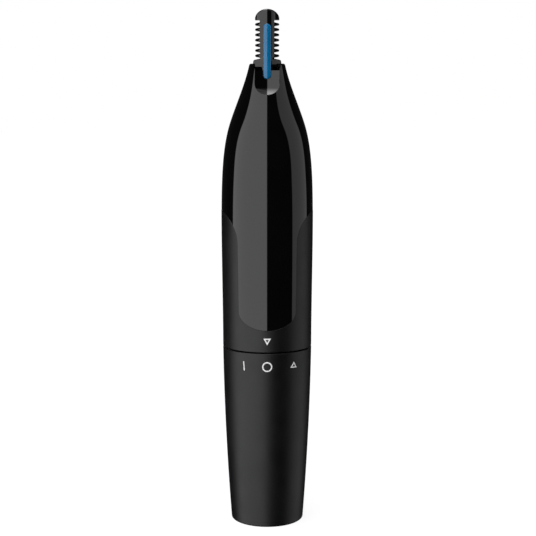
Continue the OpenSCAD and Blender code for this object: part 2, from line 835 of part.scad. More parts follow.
module cutter_spindle() {
    dog_half = dog_slot / 2 - dog_fit;
    color("#d4d6d9") {
        block([-dog_w / 2, -dog_half, dog_z + end_play], [dog_w / 2, dog_half, coupling_top + end_play]);
        translate([0, 0, coupling_top]) cylinder(d = spindle_d, h = spindle_top - coupling_top);
        translate([0, 0, thrust_z]) cylinder(d = thrust_d, h = thrust_h);
        translate([0, 0, cutter_top]) cylinder(d = pivot_d, h = pivot_top - cutter_top);
    }
}

// Blades that turn with the spindle just inside the guard's bore
module cutter_blades() {
    color("#c3c7cb")
        difference() {
            translate([0, 0, cutter_z])
                linear_extrude(height = cutter_top - cutter_z, twist = blade_twist, slices = 16) {
                    circle(d = hub_d, $fn = 24);
                    intersection() {
                        circle(r = cutter_r, $fn = 48);
                        for (a = [0 : 360 / blades : 359])
                            rotate(a) translate([0, -blade_t / 2]) square([cutter_r, blade_t]);
                    }
                }
            translate([0, 0, cutter_z - 1]) cylinder(d = spindle_d + 2 * touch, h = far);
        }
}

// Outline of the gaps between the teeth on one side: each widens outward from a rounded inner end
module tooth_gaps() {
    first_gap = tip_z - dome_h - tooth_gap / 2 - dome_skirt;
    reach = (comb_d - comb_core - gap_in) / 2;
    widen = (tooth_gap - gap_in) / 2 / reach;
    for (i = [0 : teeth])
        translate([(comb_core + gap_in) / 2, first_gap - i * tooth_pitch])
            polygon(concat(
                arc([0, 0], gap_in / 2, 90, 270),
                [[comb_d, -gap_in / 2 - widen * comb_d], [comb_d, gap_in / 2 + widen * comb_d]]
            ));
}

// Outline of what is cut off round the dome, seen from the front: the dome is half an ellipse
module dome_waste() {
    half = comb_d / 2 + edge_margin;
    translate([0, tip_z - dome_h])
        polygon(concat(
            [[far / 2, 0], [far / 2, far], [-far / 2, far], [-far / 2, 0]],
            [for (i = [0 : dome_steps]) let (a = 180 - 180 * i / dome_steps) [half * cos(a), dome_h * sin(a)]]
        ));
}

// Outline of what is cut off the tip's front and back edges, seen from the side
module edge_waste() {
    half = comb_d / 2 + edge_margin - dome_edge;
    translate([0, tip_z + edge_margin - dome_edge])
        difference() {
            translate([-far / 2, 0]) square([far, far]);
            translate([-half, -1]) square([2 * half, dome_edge + 1]);
            for (side = [-1, 1])
                translate([side * half, 0]) circle(r = dome_edge);
        }
}

// Space of the front strip, grown by a margin, from its seat to its round front
module strip_space(grow, seat) {
    half = strip_bar_w / 2 + grow;
    end_r = half + edge_margin;
    round_y = -strip_front + strip_bar_w / 2;
    intersection() {
        translate([0, 0, strip_end - 1])
            linear_extrude(height = strip_bar_l + 2) {
                translate([0, round_y]) circle(r = half);
                translate([-half, round_y]) square([2 * half, -round_y - seat]);
            }
        front_prism() {
            translate([-end_r, strip_end - grow + end_r])
                square([2 * end_r, strip_bar_l + 2 * grow - 2 * end_r]);
            translate([0, strip_end - grow + end_r]) circle(r = end_r);
            translate([0, strip_top + grow - end_r]) circle(r = end_r);
        }
    }
}

module guard_comb() {
    foot_z = seat_z - socket_h;
    skirt_z = seat_z + touch;
    color("#141415")
        difference() {
            rotate_extrude()
                polygon([
                    [0, foot_z],
                    [plug_d / 2, foot_z],
                    [plug_d / 2, skirt_z],
                    [skirt_d / 2, skirt_z],
                    [skirt_d / 2, skirt_z + skirt_h],
                    [comb_d / 2, comb_z],
                    [comb_d / 2, tip_z + 1],
                    [0, tip_z + 1]
                ]);
            translate([0, 0, foot_z - 1]) cylinder(d = guard_bore, h = bore_top - foot_z + 1);
            translate([0, 0, bore_top - 1])
                cylinder(d = pivot_d + 2 * run_fit, h = pivot_top - bore_top + 1 + end_play);
            for (side = [0, 1])
                mirror([side, 0, 0])
                    rotate([90, 0, 0]) linear_extrude(height = far, center = true) tooth_gaps();
            rotate([90, 0, 0]) linear_extrude(height = far, center = true) dome_waste();
            rotate([90, 0, 90]) linear_extrude(height = far, center = true) edge_waste();
            intersection() {
                strip_space(touch, strip_seat - touch);
                translate([0, 0, seat_z]) cylinder(r = far, h = far);
            }
        }
}

module guard_strip() {
    color("#0e6fae")
        difference() {
            strip_space(0, strip_seat);
            block([-far, -scoop_floor - strip_lift, strip_end - 1], [far, far, seat_z + touch]);
        }
}

module switch_ring() {
    ring_top = ring_z + ring_h;
    notch_z = ring_top - lug_h - slip_fit;
    notch_half = (twist_on + twist_open) / 2 + lug_half + stop_slack;
    notch_middle = 90 + (twist_open - twist_on) / 2;
    color("#2e2f31")
        difference() {
            union() {
                tube(ring_out_r, ring_in_r, ring_z, ring_top);
                for (side = [0, 180])
                    rotate([0, 0, side])
                        block([ring_out_r - ring_t / 2, -key_w / 2, ring_z],
                            [ring_out_r + key_out, key_w / 2, ring_top]);
            }
            tube_arc(far / 2, ring_in_r - 1, notch_z, ring_top + 1, notch_middle, notch_half);
        }
}

module battery_cap() {
    key_r = ring_out_r + key_out + slip_fit;
    color("#232324")
        difference() {
            turned(cap_curve);
            rotate_extrude()
                polygon([
                    [0, cap_floor],
                    [well_r, cap_floor],
                    [well_r, cap_floor + well_h],
                    [mouth_r, spigot_end - spigot_gap],
                    [mouth_r, cap_h + 1],
                    [0, cap_h + 1]
                ]);
            block([-key_r, -key_w / 2 - slip_fit, ring_z - slip_fit],
                [key_r, key_w / 2 + slip_fit, cap_h + 1]);
        }
}

// Brass washer on the cap's floor, with a riser up to the spigot's inside
module cap_contact() {
    color("#c9a24a") {
        tube(riser_out_r + slip_fit, washer_hole_d / 2, washer_z, washer_z + strip_t);
        tube_arc(riser_out_r, riser_in_r, washer_z + strip_t / 2, riser_top,
            180 - twist_on, strip_half);
    }
}

// Conical spring: a round wire swept along a spiral that climbs and draws in
module cell_spring() {
    ring_steps = 20;
    wire_r = spring_wire / 2;
    sides = 6;
    rings = spring_turns * ring_steps;
    climb = spring_l - spring_wire;
    function spiral_r(t) = (spring_low_d + (spring_high_d - spring_low_d) * t) / 2;
    points = [
        for (i = [0 : rings])
            for (k = [0 : sides - 1])
                let (
                    t = i / rings,
                    turn = 360 * spring_turns * t,
                    a = 360 * k / sides,
                    r = spiral_r(t) + wire_r * cos(a)
                )
                    [r * cos(turn), r * sin(turn), spring_z + wire_r + climb * t + wire_r * sin(a)]
    ];
    walls = [
        for (i = [0 : rings - 1])
            for (k = [0 : sides - 1])
                let (a = i * sides + k, b = i * sides + (k + 1) % sides)
                    each [[a, a + sides, b], [b, a + sides, b + sides]]
    ];
    start_face = [for (k = [1 : sides - 2]) [0, k, k + 1]];
    end_face = [for (k = [1 : sides - 2]) [rings * sides, rings * sides + k + 1, rings * sides + k]];
    color("#c8ccd0") polyhedron(points, concat(walls, start_face, end_face));
}

housing();
grip_sleeve();
battery_holder();
motor_carrier();
chassis_screws();
chassis_seal();
cap_seal();
positive_contact();
negative_contact();
aa_cell();
motor_can();
motor_end_cap();
motor_magnets();
motor_bushes();
motor_brushes();
motor_screws();
spindle_bushes();
shaft_seal();
motor_shaft();
armature_core();
armature_windings();
commutator();
drive_coupling();
cutter_spindle();
cutter_blades();
guard_comb();
guard_strip();
switch_ring();
battery_cap();
cap_contact();
cell_spring();
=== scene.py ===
"""A battery nose hair trimmer on a studio floor.

The shells, the guard, the printed marks and the battery are surfaces computed from formulas, in the frame of
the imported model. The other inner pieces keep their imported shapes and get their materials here.
Lengths in this file are millimetres unless a name or a comment says otherwise, and MM turns them into metres.
Angles round the trimmer count from the front (-Y) towards +X.
"""
import math
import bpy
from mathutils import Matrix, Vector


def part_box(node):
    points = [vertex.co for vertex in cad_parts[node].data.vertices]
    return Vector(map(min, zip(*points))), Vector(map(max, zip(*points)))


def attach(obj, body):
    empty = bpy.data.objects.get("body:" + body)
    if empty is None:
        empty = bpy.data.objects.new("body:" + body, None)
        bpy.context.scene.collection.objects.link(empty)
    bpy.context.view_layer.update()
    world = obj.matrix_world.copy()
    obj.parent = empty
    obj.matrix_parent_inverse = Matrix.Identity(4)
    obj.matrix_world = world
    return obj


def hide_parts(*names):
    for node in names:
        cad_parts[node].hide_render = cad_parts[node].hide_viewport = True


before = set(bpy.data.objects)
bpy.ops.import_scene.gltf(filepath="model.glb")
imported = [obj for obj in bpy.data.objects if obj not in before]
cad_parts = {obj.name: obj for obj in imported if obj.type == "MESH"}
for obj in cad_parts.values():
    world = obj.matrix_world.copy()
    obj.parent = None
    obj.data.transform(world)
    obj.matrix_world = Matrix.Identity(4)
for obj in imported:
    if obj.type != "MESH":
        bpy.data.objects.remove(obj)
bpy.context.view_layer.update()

from types import SimpleNamespace

import bpy
import numpy as np
from mathutils import Vector

bl_info = {
    "name": "Nose hair trimmer",
    "version": (1, 0, 0),
    "blender": (4, 5, 0),
    "location": "View3D > Sidebar > Trimmer",
    "description": "Shells, guard, marks, battery, finishes and studio of a nose hair trimmer",
    "category": "Object",
}

MM = 0.001
UP = (0, 0, 1)
DOWN = (0, 0, -1)
QUARTER = math.pi / 2


def heights(node):
    """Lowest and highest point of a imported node."""
    low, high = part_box(node)
    return float(low[2] / MM), float(high[2] / MM)


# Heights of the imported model: the cap's mouth, the housing, the guard and its strip
CAP_TOP = heights("battery_cap")[1]
BODY_FOOT, COLLAR = heights("housing")
TIP = heights("guard_comb")[1]
STRIP_FOOT, STRIP_TOP = heights("guard_strip")

# Heights on the body: foot of the neck, foot of the shoulder, the guard's seat, and where two fans meet
NECK = COLLAR - 15.85
BELLY = NECK - 27.0
SEAT = COLLAR - 1.95
FAN_TOP = NECK + 3.3

# Body and cap: radius for arc lengths, radii of the openings, the scoop's round end, the base's round
MEAN_R = 13
HOLLOW_R = 10.65
HOLE_R = 4.1
SOCKET_R = 2.85
SCOOP_END = 3.0
BASE_ROUND = 0.5

# Lines in the right half of a fan, and the angles at which they stand where two fans meet and at the foot
COLUMNS = 181
MIDDLE_FAN = (0, 16, 34, 82, 180)
FOOT_FAN = (0, 40, 75, 105, 180)

# Guard: radii of comb and bore, half the width between the gaps, the teeth and the tip
COMB_R = 3.4
COMB_BORE = 2.25
COMB_CORE = 1.98
TOOTH_PITCH = 1.44
TEETH_TOP = TIP - 3.45
TIP_FOOT = TIP - 3.05
TIP_RISE = 2.8
FULL_TURN = np.linspace(-math.pi, math.pi, 145)

MARK_STEPS = 96
WELD_STEPS = 1000  # points that agree to a thousandth of a millimetre are welded


def number(name, description, default, low, high):
    """A plain number with its limits."""
    return bpy.props.FloatProperty(name=name, description=description, default=default, min=low, max=high)


def tint(name, description, default):
    """A colour with parts from 0 to 1."""
    return bpy.props.FloatVectorProperty(
        name=name, description=description, default=default, subtype="COLOR", size=3, min=0, max=1)


def metres(name, description, default):
    """A length in metres."""
    return bpy.props.FloatProperty(
        name=name, description=description, default=default, subtype="DISTANCE", unit="LENGTH")


class TrimmerShape(bpy.types.PropertyGroup):
    """Sizes of the visible surfaces, in millimetres."""
    gloss_inset: number("Gloss inset", "Depth of the gloss surface below the solid's", 0.02, 0, 0.2)
    grip_inset: number("Grip inset", "Depth of the matte surface below the solid's", 0.01, 0, 0.2)
    grip_depth: number("Grip thickness", "Thickness of the matte skin in the housing", 0.4, 0.2, 0.6)
    tongue_half: number("Tongue half width", "Half the width of the gloss tongue", 8.0, 6, 9)
    tongue_up: number("Tongue foot", "Height of the tongue's lowest point above the twist seam", 6.25, 4, 9)
    grip_up: number("Grip top", "Height of the matte skin's upper edge above the twist seam", 39.15, 36, 42)
    scoop_half: number("Scoop half width", "Half the width of the scoop in the neck", 3.48, 3, 3.6)
    scoop_down: number("Scoop depth", "Distance of the scoop's lowest point below the collar", 8.65, 7.5, 9)
    teeth: bpy.props.IntProperty(
        name="Teeth", description="Number of teeth on each side of the guard", default=7, min=4, max=9)


class TrimmerFinish(bpy.types.PropertyGroup):
    """Colours and gloss of the visible materials."""
    gloss_colour: tint("Gloss", "Colour of the gloss plastic", (0.0008, 0.0008, 0.0009))
    gloss_roughness: number("Gloss roughness", "Roughness of the gloss plastic", 0.03, 0, 1)
    matte_colour: tint("Matte", "Colour of the matte plastic", (0.0008, 0.0008, 0.0009))
    matte_roughness: number("Matte roughness", "Roughness of the matte plastic", 0.42, 0, 1)
    strip_colour: tint("Strip", "Colour of the guard's front strip", (0.001, 0.113, 0.265))
    print_colour: tint("Print", "Colour of the printed marks", (0.85, 0.85, 0.85))


class TrimmerStage(bpy.types.PropertyGroup):
    """Light and camera of the studio."""
    left_light: number("Left light", "Brightness of the large left softbox", 1.95, 0, 10)
    right_light: number("Right light", "Brightness of the small right softbox", 0.7, 0, 10)
    top_left: number("Top left light", "Brightness of the ceiling's left half", 7.0, 0, 10)
    top_right: number("Top right light", "Brightness of the ceiling's right half", 0.8, 0, 10)
    front_light: number("Front light", "Power of the front lamp in watts", 2.4, 0, 20)
    back_light: number("Back light", "Power of the narrow lamp behind the trimmer in watts", 0.03, 0, 1)
    fill_light: number("Fill", "Brightness all round", 0.018, 0, 1)
    lens: number("Lens", "Focal length of the camera in millimetres", 87.48, 30, 200)
    pitch: bpy.props.FloatProperty(
        name="Pitch", description="Angle by which the camera looks down", subtype="ANGLE", unit="ROTATION",
        default=math.radians(8))
    distance: metres("Distance", "Distance of the camera in front of the axis", 0.37036)
    height: metres("Height", "Height of the camera", 0.1258)


def smooth(low, high, value):
    """Smoothstep t*t*(3 - 2t) with t = (value - low) / (high - low), kept between 0 and 1."""
    t = np.clip((np.asarray(value, float) - low) / (high - low), 0, 1)
    return t * t * (3 - 2 * t)


def blend(first, last, share):
    """first where share is 0, last where it is 1."""
    return (1 - share) * first + share * last


def quadratic(a, b, c, t):
    """Quadratic Bezier (1-t)^2 A + 2t(1-t) B + t^2 C."""
    return (1 - t) ** 2 * a + 2 * t * (1 - t) * b + t * t * c


def bezier(points, count):
    """Cubic Bezier (1-t)^3 A + 3t(1-t)^2 B + 3t^2(1-t) C + t^3 D at count steps of t."""
    t = np.linspace(0, 1, count)[:, None]
    a, b, c, d = np.asarray(points, float)
    return (1 - t) ** 3 * a + 3 * t * (1 - t) ** 2 * b + 3 * t * t * (1 - t) * c + t ** 3 * d


def fair(values, step, width):
    """Values on an even grid averaged by the bell exp(-(d / width)^2 / 2); the ends keep value and slope."""
    reach = int(4 * width / step)
    bell = np.exp(-0.5 * (np.arange(-reach, reach + 1) * step / width) ** 2)
    padded = np.pad(values, reach, mode="reflect", reflect_type="odd")
    return np.convolve(padded, bell / bell.sum(), mode="valid")


def xyz(x, y, z):
    """Points from three coordinates, each an array or one number."""
    return np.stack(np.broadcast_arrays(x, y, z), axis=-1)


def unit(vectors):
    """Vectors of length 1."""
    return vectors / np.linalg.norm(vectors, axis=-1, keepdims=True)


def polar(r, angle, z):
    """Points (r sin a, -r cos a, z)."""
    return xyz(r * np.sin(angle), -r * np.cos(angle), z)


def ring_grid(angles, radii, z):
    """Points round the axis: one row for each radius and height, one column for each angle."""
    return polar(np.asarray(radii, float)[:, None], angles, np.asarray(z, float)[:, None])


def mirrored(half, sign):
    """Columns of a right half, the first in the middle, carried over to the left; sign is -1 for x."""
    return np.concatenate([sign * half[..., :0:-1], half], axis=-1)


def facing_out(normals, outward, rows=slice(None)):
    """The normals, turned round if those of the given rows look against outward on the whole."""
    return normals if (normals * outward)[rows].sum() > 0 else -normals


class Turned:
    """A turned outline r(z) from points of a curve, with its slope dr/dz, for any height."""

    def __init__(self, z, r, width):
        step = 0.02
        self.z = np.arange(z[0], z[-1] + step / 2, step)
        self.r = fair(np.interp(self.z, z, r), step, width)
        self.dr = np.gradient(self.r, self.z)

    def radius(self, z):
        """Radius at a height."""
        return np.interp(z, self.z, self.r)

    def slope(self, z):
        """Slope dr/dz at a height."""
        return np.interp(z, self.z, self.dr)

    def at(self, angle, z, inset):
        """Points (R sin a, -R cos a, z), R = r(z) - inset, and normals along (sin a, -cos a, -dr/dz)."""
        return polar(self.radius(z) - inset, angle, z), unit(polar(1, angle, -self.slope(z)))


def body_outline():
    """Belly r = 12.75 + 0.325 t^2 (3 - 2t) up to BELLY, then one Bezier each for shoulder and neck."""
    seam_r, bulge, neck_r, collar_r = 12.75, 0.325, 10.325, 5.075
    belly_r = seam_r + bulge
    z = np.linspace(BODY_FOOT, BELLY, 200)
    belly = np.stack([seam_r + bulge * smooth(BODY_FOOT, BELLY, z), z], axis=-1)
    shoulder = bezier(
        [(belly_r, BELLY), (belly_r, BELLY + 15.471), (12.109, NECK - 5.157), (neck_r, NECK)], 300)
    neck = bezier(
        [(neck_r, NECK), (8.367, NECK + 5.658), (6.283, COLLAR - 5.754), (collar_r, COLLAR - 0.4)], 300)
    r, z = np.concatenate([belly, shoulder[1:], neck[1:]]).T
    return Turned(z, r, 1.2)


def cap_outline():
    """Cap side r = 10.45 + 2.3 (1.66 t - 0.66 t^2) with t from 0 at the base edge to 1 at the seam."""
    base_r, flare, bow = 10.45, 2.3, 0.66
    z = np.linspace(BASE_ROUND, CAP_TOP, 300)
    t = (z - BASE_ROUND) / (CAP_TOP - BASE_ROUND)
    return Turned(z, base_r + flare * ((1 + bow) * t - bow * t * t), 0.4)


BODY = body_outline()
CAP = cap_outline()


class Shell:
    """Grids of points that are welded into one closed mesh; each grid brings its own normals."""

    def __init__(self):
        self.points, self.normals, self.quads = [], [], []
        self.count = 0

    @staticmethod
    def grid_normals(grid, wrap_rows=False, wrap_columns=False):
        """Cross product of the steps along columns and rows, with gaps filled from the nearest neighbours."""
        def steps(axis, wrap):
            """Differences between the neighbours on both sides along an axis."""
            if wrap:
                return np.roll(grid, -1, axis) - np.roll(grid, 1, axis)
            return np.gradient(grid, axis=axis)
        normals = np.cross(steps(1, wrap_columns), steps(0, wrap_rows))
        length = np.linalg.norm(normals, axis=-1, keepdims=True)
        good = length > 1e-9
        normals = np.where(good, normals / np.where(good, length, 1), 0)
        for _ in range(24):
            bad = np.linalg.norm(normals, axis=-1) < 0.5
            if not bad.any():
                break
            total = sum(np.roll(normals, move, axis) for move in (-1, 1) for axis in (0, 1))
            size = np.linalg.norm(total, axis=-1, keepdims=True)
            normals = np.where(bad[..., None] & (size > 1e-6), total / np.maximum(size, 1e-6), normals)
        return normals

    def add(self, grid, normals=None, wrap_rows=False, wrap_columns=False, facing=None):
        """Adds a grid of points (rows, columns, 3).

        facing: a direction, or an array of directions, that the faces look towards on average.
        """
        grid = np.asarray(grid, float)
        made = self.grid_normals(grid, wrap_rows, wrap_columns)
        target = normals if normals is not None else facing
        flip = target is not None and np.sum(made * np.asarray(target)) < 0
        if normals is None:
            normals = -made if flip else made
        normals = np.broadcast_to(np.asarray(normals, float), grid.shape)
        rows, columns = grid.shape[:2]
        index = np.arange(rows * columns).reshape(rows, columns) + self.count
        if wrap_rows:
            index = np.concatenate([index, index[:1]], axis=0)
        if wrap_columns:
            index = np.concatenate([index, index[:, :1]], axis=1)
        quads = np.stack([index[:-1, :-1], index[:-1, 1:], index[1:, 1:], index[1:, :-1]], axis=-1)
        quads = quads.reshape(-1, 4)
        self.quads.append(quads[:, ::-1] if flip else quads)
        self.points.append(grid.reshape(-1, 3))
        self.normals.append(normals.reshape(-1, 3))
        self.count += rows * columns

    def close(self, rim, facing):
        """Closes a round opening with a fan to the middle of its rim."""
        self.add(np.stack([rim, np.broadcast_to(rim.mean(0), rim.shape)]), facing=facing, wrap_columns=True)

    def build(self, name, material, body, replaces=(), sharp=None):
        """Welds the grids, makes the object and lets it ride on its body.

        sharp: an angle in degrees; edges above it stay sharp in place of the grids' own normals.
        """
        points = np.concatenate(self.points)
        normals = np.concatenate(self.normals)
        quads = np.concatenate(self.quads)
        _, first, inverse = np.unique(
            np.round(points * WELD_STEPS).astype(np.int64), axis=0, return_index=True, return_inverse=True)
        corners = inverse.reshape(-1)[quads]
        keep = corners != np.roll(corners, -1, axis=1)
        whole = (keep.sum(axis=1) >= 3) & (corners[:, 0] != corners[:, 2]) & (corners[:, 1] != corners[:, 3])
        keep &= whole[:, None]
        loops = corners[keep]
        loop_normals = normals[quads[keep]]
        totals = keep.sum(axis=1)[whole]
        starts = np.concatenate([[0], np.cumsum(totals)[:-1]])
        used, loops = np.unique(loops, return_inverse=True)
        mesh = bpy.data.meshes.new(name)
        mesh.vertices.add(len(used))
        mesh.vertices.foreach_set("co", (points[first[used]] * MM).ravel())
        mesh.loops.add(len(loops))
        mesh.loops.foreach_set("vertex_index", loops.reshape(-1).astype(np.int32))
        mesh.polygons.add(len(totals))
        mesh.polygons.foreach_set("loop_start", starts.astype(np.int32))
        mesh.update(calc_edges=True)
        mesh.polygons.foreach_set("use_smooth", np.ones(len(mesh.polygons), dtype=bool))
        if sharp is None:
            mesh.normals_split_custom_set(loop_normals.tolist())
        else:
            mesh.set_sharp_from_angle(angle=math.radians(sharp))
        mesh.materials.append(material)
        piece = bpy.data.objects.new(name, mesh)
        bpy.context.scene.collection.objects.link(piece)
        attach(piece, body)
        if replaces:
            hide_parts(*replaces)


def socket_of(tree, value, target):
    """Connects a socket, or sets a plain value, on target."""
    if isinstance(value, bpy.types.NodeSocket):
        tree.links.new(value, target)
    else:
        target.default_value = value


def math_node(tree, operation, *values):
    """Output of one Math node; each value is a socket or a number."""
    node = tree.nodes.new("ShaderNodeMath")
    node.operation = operation
    for value, target in zip(values, node.inputs):
        socket_of(tree, value, target)
    return node.outputs[0]


def ramp_node(tree, value, low, high, to_low=0.0, to_high=1.0):
    """Smoothstep map of value from low..high to to_low..to_high."""
    node = tree.nodes.new("ShaderNodeMapRange")
    node.interpolation_type = "SMOOTHSTEP"
    for source, target in zip((value, low, high, to_low, to_high), node.inputs[:5]):
        socket_of(tree, source, target)
    return node.outputs[0]


def new_group(name, inputs, output, kind):
    """Shader node group with float or colour inputs and one output; returns group, inputs and output."""
    group = bpy.data.node_groups.new(name, "ShaderNodeTree")
    for label, value in inputs.items():
        socket_type = "NodeSocketColor" if isinstance(value, tuple) else "NodeSocketFloat"
        group.interface.new_socket(label, in_out="INPUT", socket_type=socket_type).default_value = value
    group.interface.new_socket(output, in_out="OUTPUT", socket_type=kind)
    start = group.nodes.new("NodeGroupInput")
    end = group.nodes.new("NodeGroupOutput")
    return group, start.outputs, end.inputs[output]


def object_noise(tree, scale, detail, rough=0.55, stretch=None):
    """Noise on object coordinates; stretch scales the axes first, which draws lines out of the noise."""
    coords = tree.nodes.new("ShaderNodeTexCoord").outputs["Object"]
    if stretch:
        mapping = tree.nodes.new("ShaderNodeMapping")
        mapping.inputs["Scale"].default_value = stretch
        tree.links.new(coords, mapping.inputs["Vector"])
        coords = mapping.outputs[0]
    noise = tree.nodes.new("ShaderNodeTexNoise")
    tree.links.new(coords, noise.inputs["Vector"])
    socket_of(tree, scale, noise.inputs["Scale"])
    noise.inputs["Detail"].default_value = detail
    noise.inputs["Roughness"].default_value = rough
    return noise.outputs["Fac"]


def handling_group():
    """Roughness that wanders between two values, as smudges and polish leave it."""
    inputs = {"Low": 0.03, "High": 0.06, "Scale": 90.0}
    group, source, target = new_group("handling", inputs, "Roughness", "NodeSocketFloat")
    field = object_noise(group, source["Scale"], 4.0, 0.6)
    group.links.new(ramp_node(group, field, 0.38, 0.66, source["Low"], source["High"]), target)
    return group


def tone_group():
    """Colour that wanders a little between two tones."""
    inputs = {"First": (0, 0, 0, 1), "Second": (0, 0, 0, 1), "Scale": 60.0}
    group, source, target = new_group("tone", inputs, "Colour", "NodeSocketColor")
    mix = group.nodes.new("ShaderNodeMix")
    mix.data_type = "RGBA"
    field = object_noise(group, source["Scale"], 3.0)
    group.links.new(ramp_node(group, field, 0.36, 0.64), mix.inputs["Factor"])
    group.links.new(source["First"], mix.inputs["A"])
    group.links.new(source["Second"], mix.inputs["B"])
    group.links.new(mix.outputs["Result"], target)
    return group


def relief_group(name, scale, depth, detail, stretch=None):
    """Normal of a fine relief: noise of the given scale, raised by Depth (metres)."""
    group, source, target = new_group(name, {"Scale": scale, "Depth": depth}, "Normal", "NodeSocketVector")
    bump = group.nodes.new("ShaderNodeBump")
    bump.inputs["Strength"].default_value = 1.0
    group.links.new(object_noise(group, source["Scale"], detail, stretch=stretch), bump.inputs["Height"])
    group.links.new(source["Depth"], bump.inputs["Distance"])
    group.links.new(bump.outputs["Normal"], target)
    return group


def grain_group():
    """Relief of a fine moulded grain."""
    return relief_group("grain", 4000.0, 0.000004, 2.0)


def turning_group():
    """Relief of fine turning lines round the axis: noise drawn out level."""
    return relief_group("turning", 300.0, 0.000003, 3.0, (1.0, 1.0, 30.0))


def use_group(tree, name, **values):
    """Output of a node that uses a shared group, made on first use, with its inputs set."""
    makers = {"handling": handling_group, "tone": tone_group, "grain": grain_group, "turning": turning_group}
    node = tree.nodes.new("ShaderNodeGroup")
    node.node_tree = bpy.data.node_groups.get(name) or makers[name]()
    for label, value in values.items():
        socket_of(tree, value, node.inputs[label])
    return node.outputs[0]


def finish(name, colour, second, roughness, spread, tone_scale=60.0, smudge_scale=90.0, grain=None,
           turning=None, metallic=0.0, ior=1.5):
    """Material with a wandering tone, handled roughness and a grained or turned surface.

    colour, second: the two tones. roughness, spread: roughness runs from roughness to roughness + spread.
    grain, turning: (scale, depth in metres).
    """
    known = bpy.data.materials.get(name)
    if known:
        return known
    material = bpy.data.materials.new(name)
    material.use_nodes = True
    material.diffuse_color = (*colour, 1)
    tree = material.node_tree
    inputs = tree.nodes["Principled BSDF"].inputs
    inputs["Metallic"].default_value = metallic
    inputs["IOR"].default_value = ior
    tone = use_group(tree, "tone", First=(*colour, 1), Second=(*second, 1), Scale=tone_scale)
    tree.links.new(tone, inputs["Base Color"])
    handling = use_group(tree, "handling", Low=roughness, High=roughness + spread, Scale=smudge_scale)
    tree.links.new(handling, inputs["Roughness"])
    for relief, sizes in (("grain", grain), ("turning", turning)):
        if sizes:
            scale, depth = sizes
            tree.links.new(use_group(tree, relief, Scale=scale, Depth=depth), inputs["Normal"])
    return material


def metal(name, colour, second, roughness, spread, **options):
    """Finish of bare metal."""
    return finish(name, colour, second, roughness, spread, metallic=1.0, **options)


def shaded(name, colour, factor, roughness, spread, **options):
    """Finish whose second tone is the first times factor."""
    first = tuple(colour)
    second = tuple(float(value) * factor for value in first)
    return finish(name, first, second, roughness, spread, **options)


def gloss_finish():
    """Gloss black of the upper shell."""
    look = bpy.context.scene.trimmer_finish
    return shaded("gloss_plastic", look.gloss_colour, 1.5, look.gloss_roughness, 0.02, smudge_scale=70.0)


def matte_finish():
    """Matte black of the grip and the cap."""
    look = bpy.context.scene.trimmer_finish
    return shaded("matte_plastic", look.matte_colour, 1.4, look.matte_roughness, 0.04, smudge_scale=120.0,
                  grain=(4200.0, 0.000005), ior=1.44)


def guard_finish():
    """Black of the guard."""
    return finish("guard_plastic", (0.0012, 0.0012, 0.0013), (0.002, 0.002, 0.0022), 0.06, 0.04,
                  smudge_scale=300.0)


def strip_finish():
    """Blue of the guard's strip."""
    look = bpy.context.scene.trimmer_finish
    return shaded("strip_plastic", look.strip_colour, 1.12, 0.05, 0.04, tone_scale=220.0, smudge_scale=400.0)


def print_finish():
    """White ink of the marks."""
    look = bpy.context.scene.trimmer_finish
    return shaded("print_ink", look.print_colour, 0.86, 0.5, 0.15, tone_scale=1800.0, smudge_scale=900.0,
                  grain=(9000.0, 0.000002))


def tongue_edge(shape):
    """Right half of the line between gloss and matte, from the front to the back, evenly spaced.

    Front end: ellipse x = w sin a, z = foot + 4.8 (1 - cos a). Side: straight to the flare.
    Flare: arc of radius 11, x = x1 + 11 (1 - cos b), z = z1 + 11 sin b. Then level round the back.
    Returns angles, heights and the shares of the length at which ellipse, side and flare end.
    """
    half, rise, flare_r = shape.tongue_half, 4.8, 11.0
    side_x = half + 0.27
    foot, grip_top = BODY_FOOT + shape.tongue_up, BODY_FOOT + shape.grip_up
    flare_z = grip_top - 8.9
    a = np.linspace(0, QUARTER, 80)
    b = np.linspace(0, math.asin((grip_top - flare_z) / flare_r), 60)
    lines = [
        (half * np.sin(a), foot + rise * (1 - np.cos(a))),
        (np.linspace(half, side_x, 60), np.linspace(foot + rise, flare_z, 60)),
        (side_x + flare_r * (1 - np.cos(b)), flare_z + flare_r * np.sin(b)),
    ]
    angles = [np.arcsin(np.clip(x / BODY.radius(z), -1, 1)) for x, z in lines]
    ends = np.cumsum([len(line) for line in angles]) - 1
    back = np.linspace(angles[-1][-1], math.pi, 80)
    angle = np.concatenate([*angles, back])
    z = np.concatenate([*(z for _, z in lines), np.full(len(back), grip_top)])
    along = np.concatenate([[0], np.cumsum(np.hypot(MEAN_R * np.diff(angle), np.diff(z)))])
    along /= along[-1]
    u = np.linspace(0, 1, COLUMNS)
    return np.interp(u, along, angle), np.interp(u, along, z), along[ends]


def fan_angles(keys, degrees):
    """Angles of a fan's columns: linear between the given degrees at 0, at the keys and at 1."""
    return np.radians(np.interp(np.linspace(0, 1, COLUMNS), [0, *keys, 1], degrees))


def scoop_width(shape, z):
    """Half width of the scoop at a height: it opens out by 0.27 in the collar."""
    return shape.scoop_half + 0.27 * smooth(SEAT + 0.5, SEAT + 1.0, z)


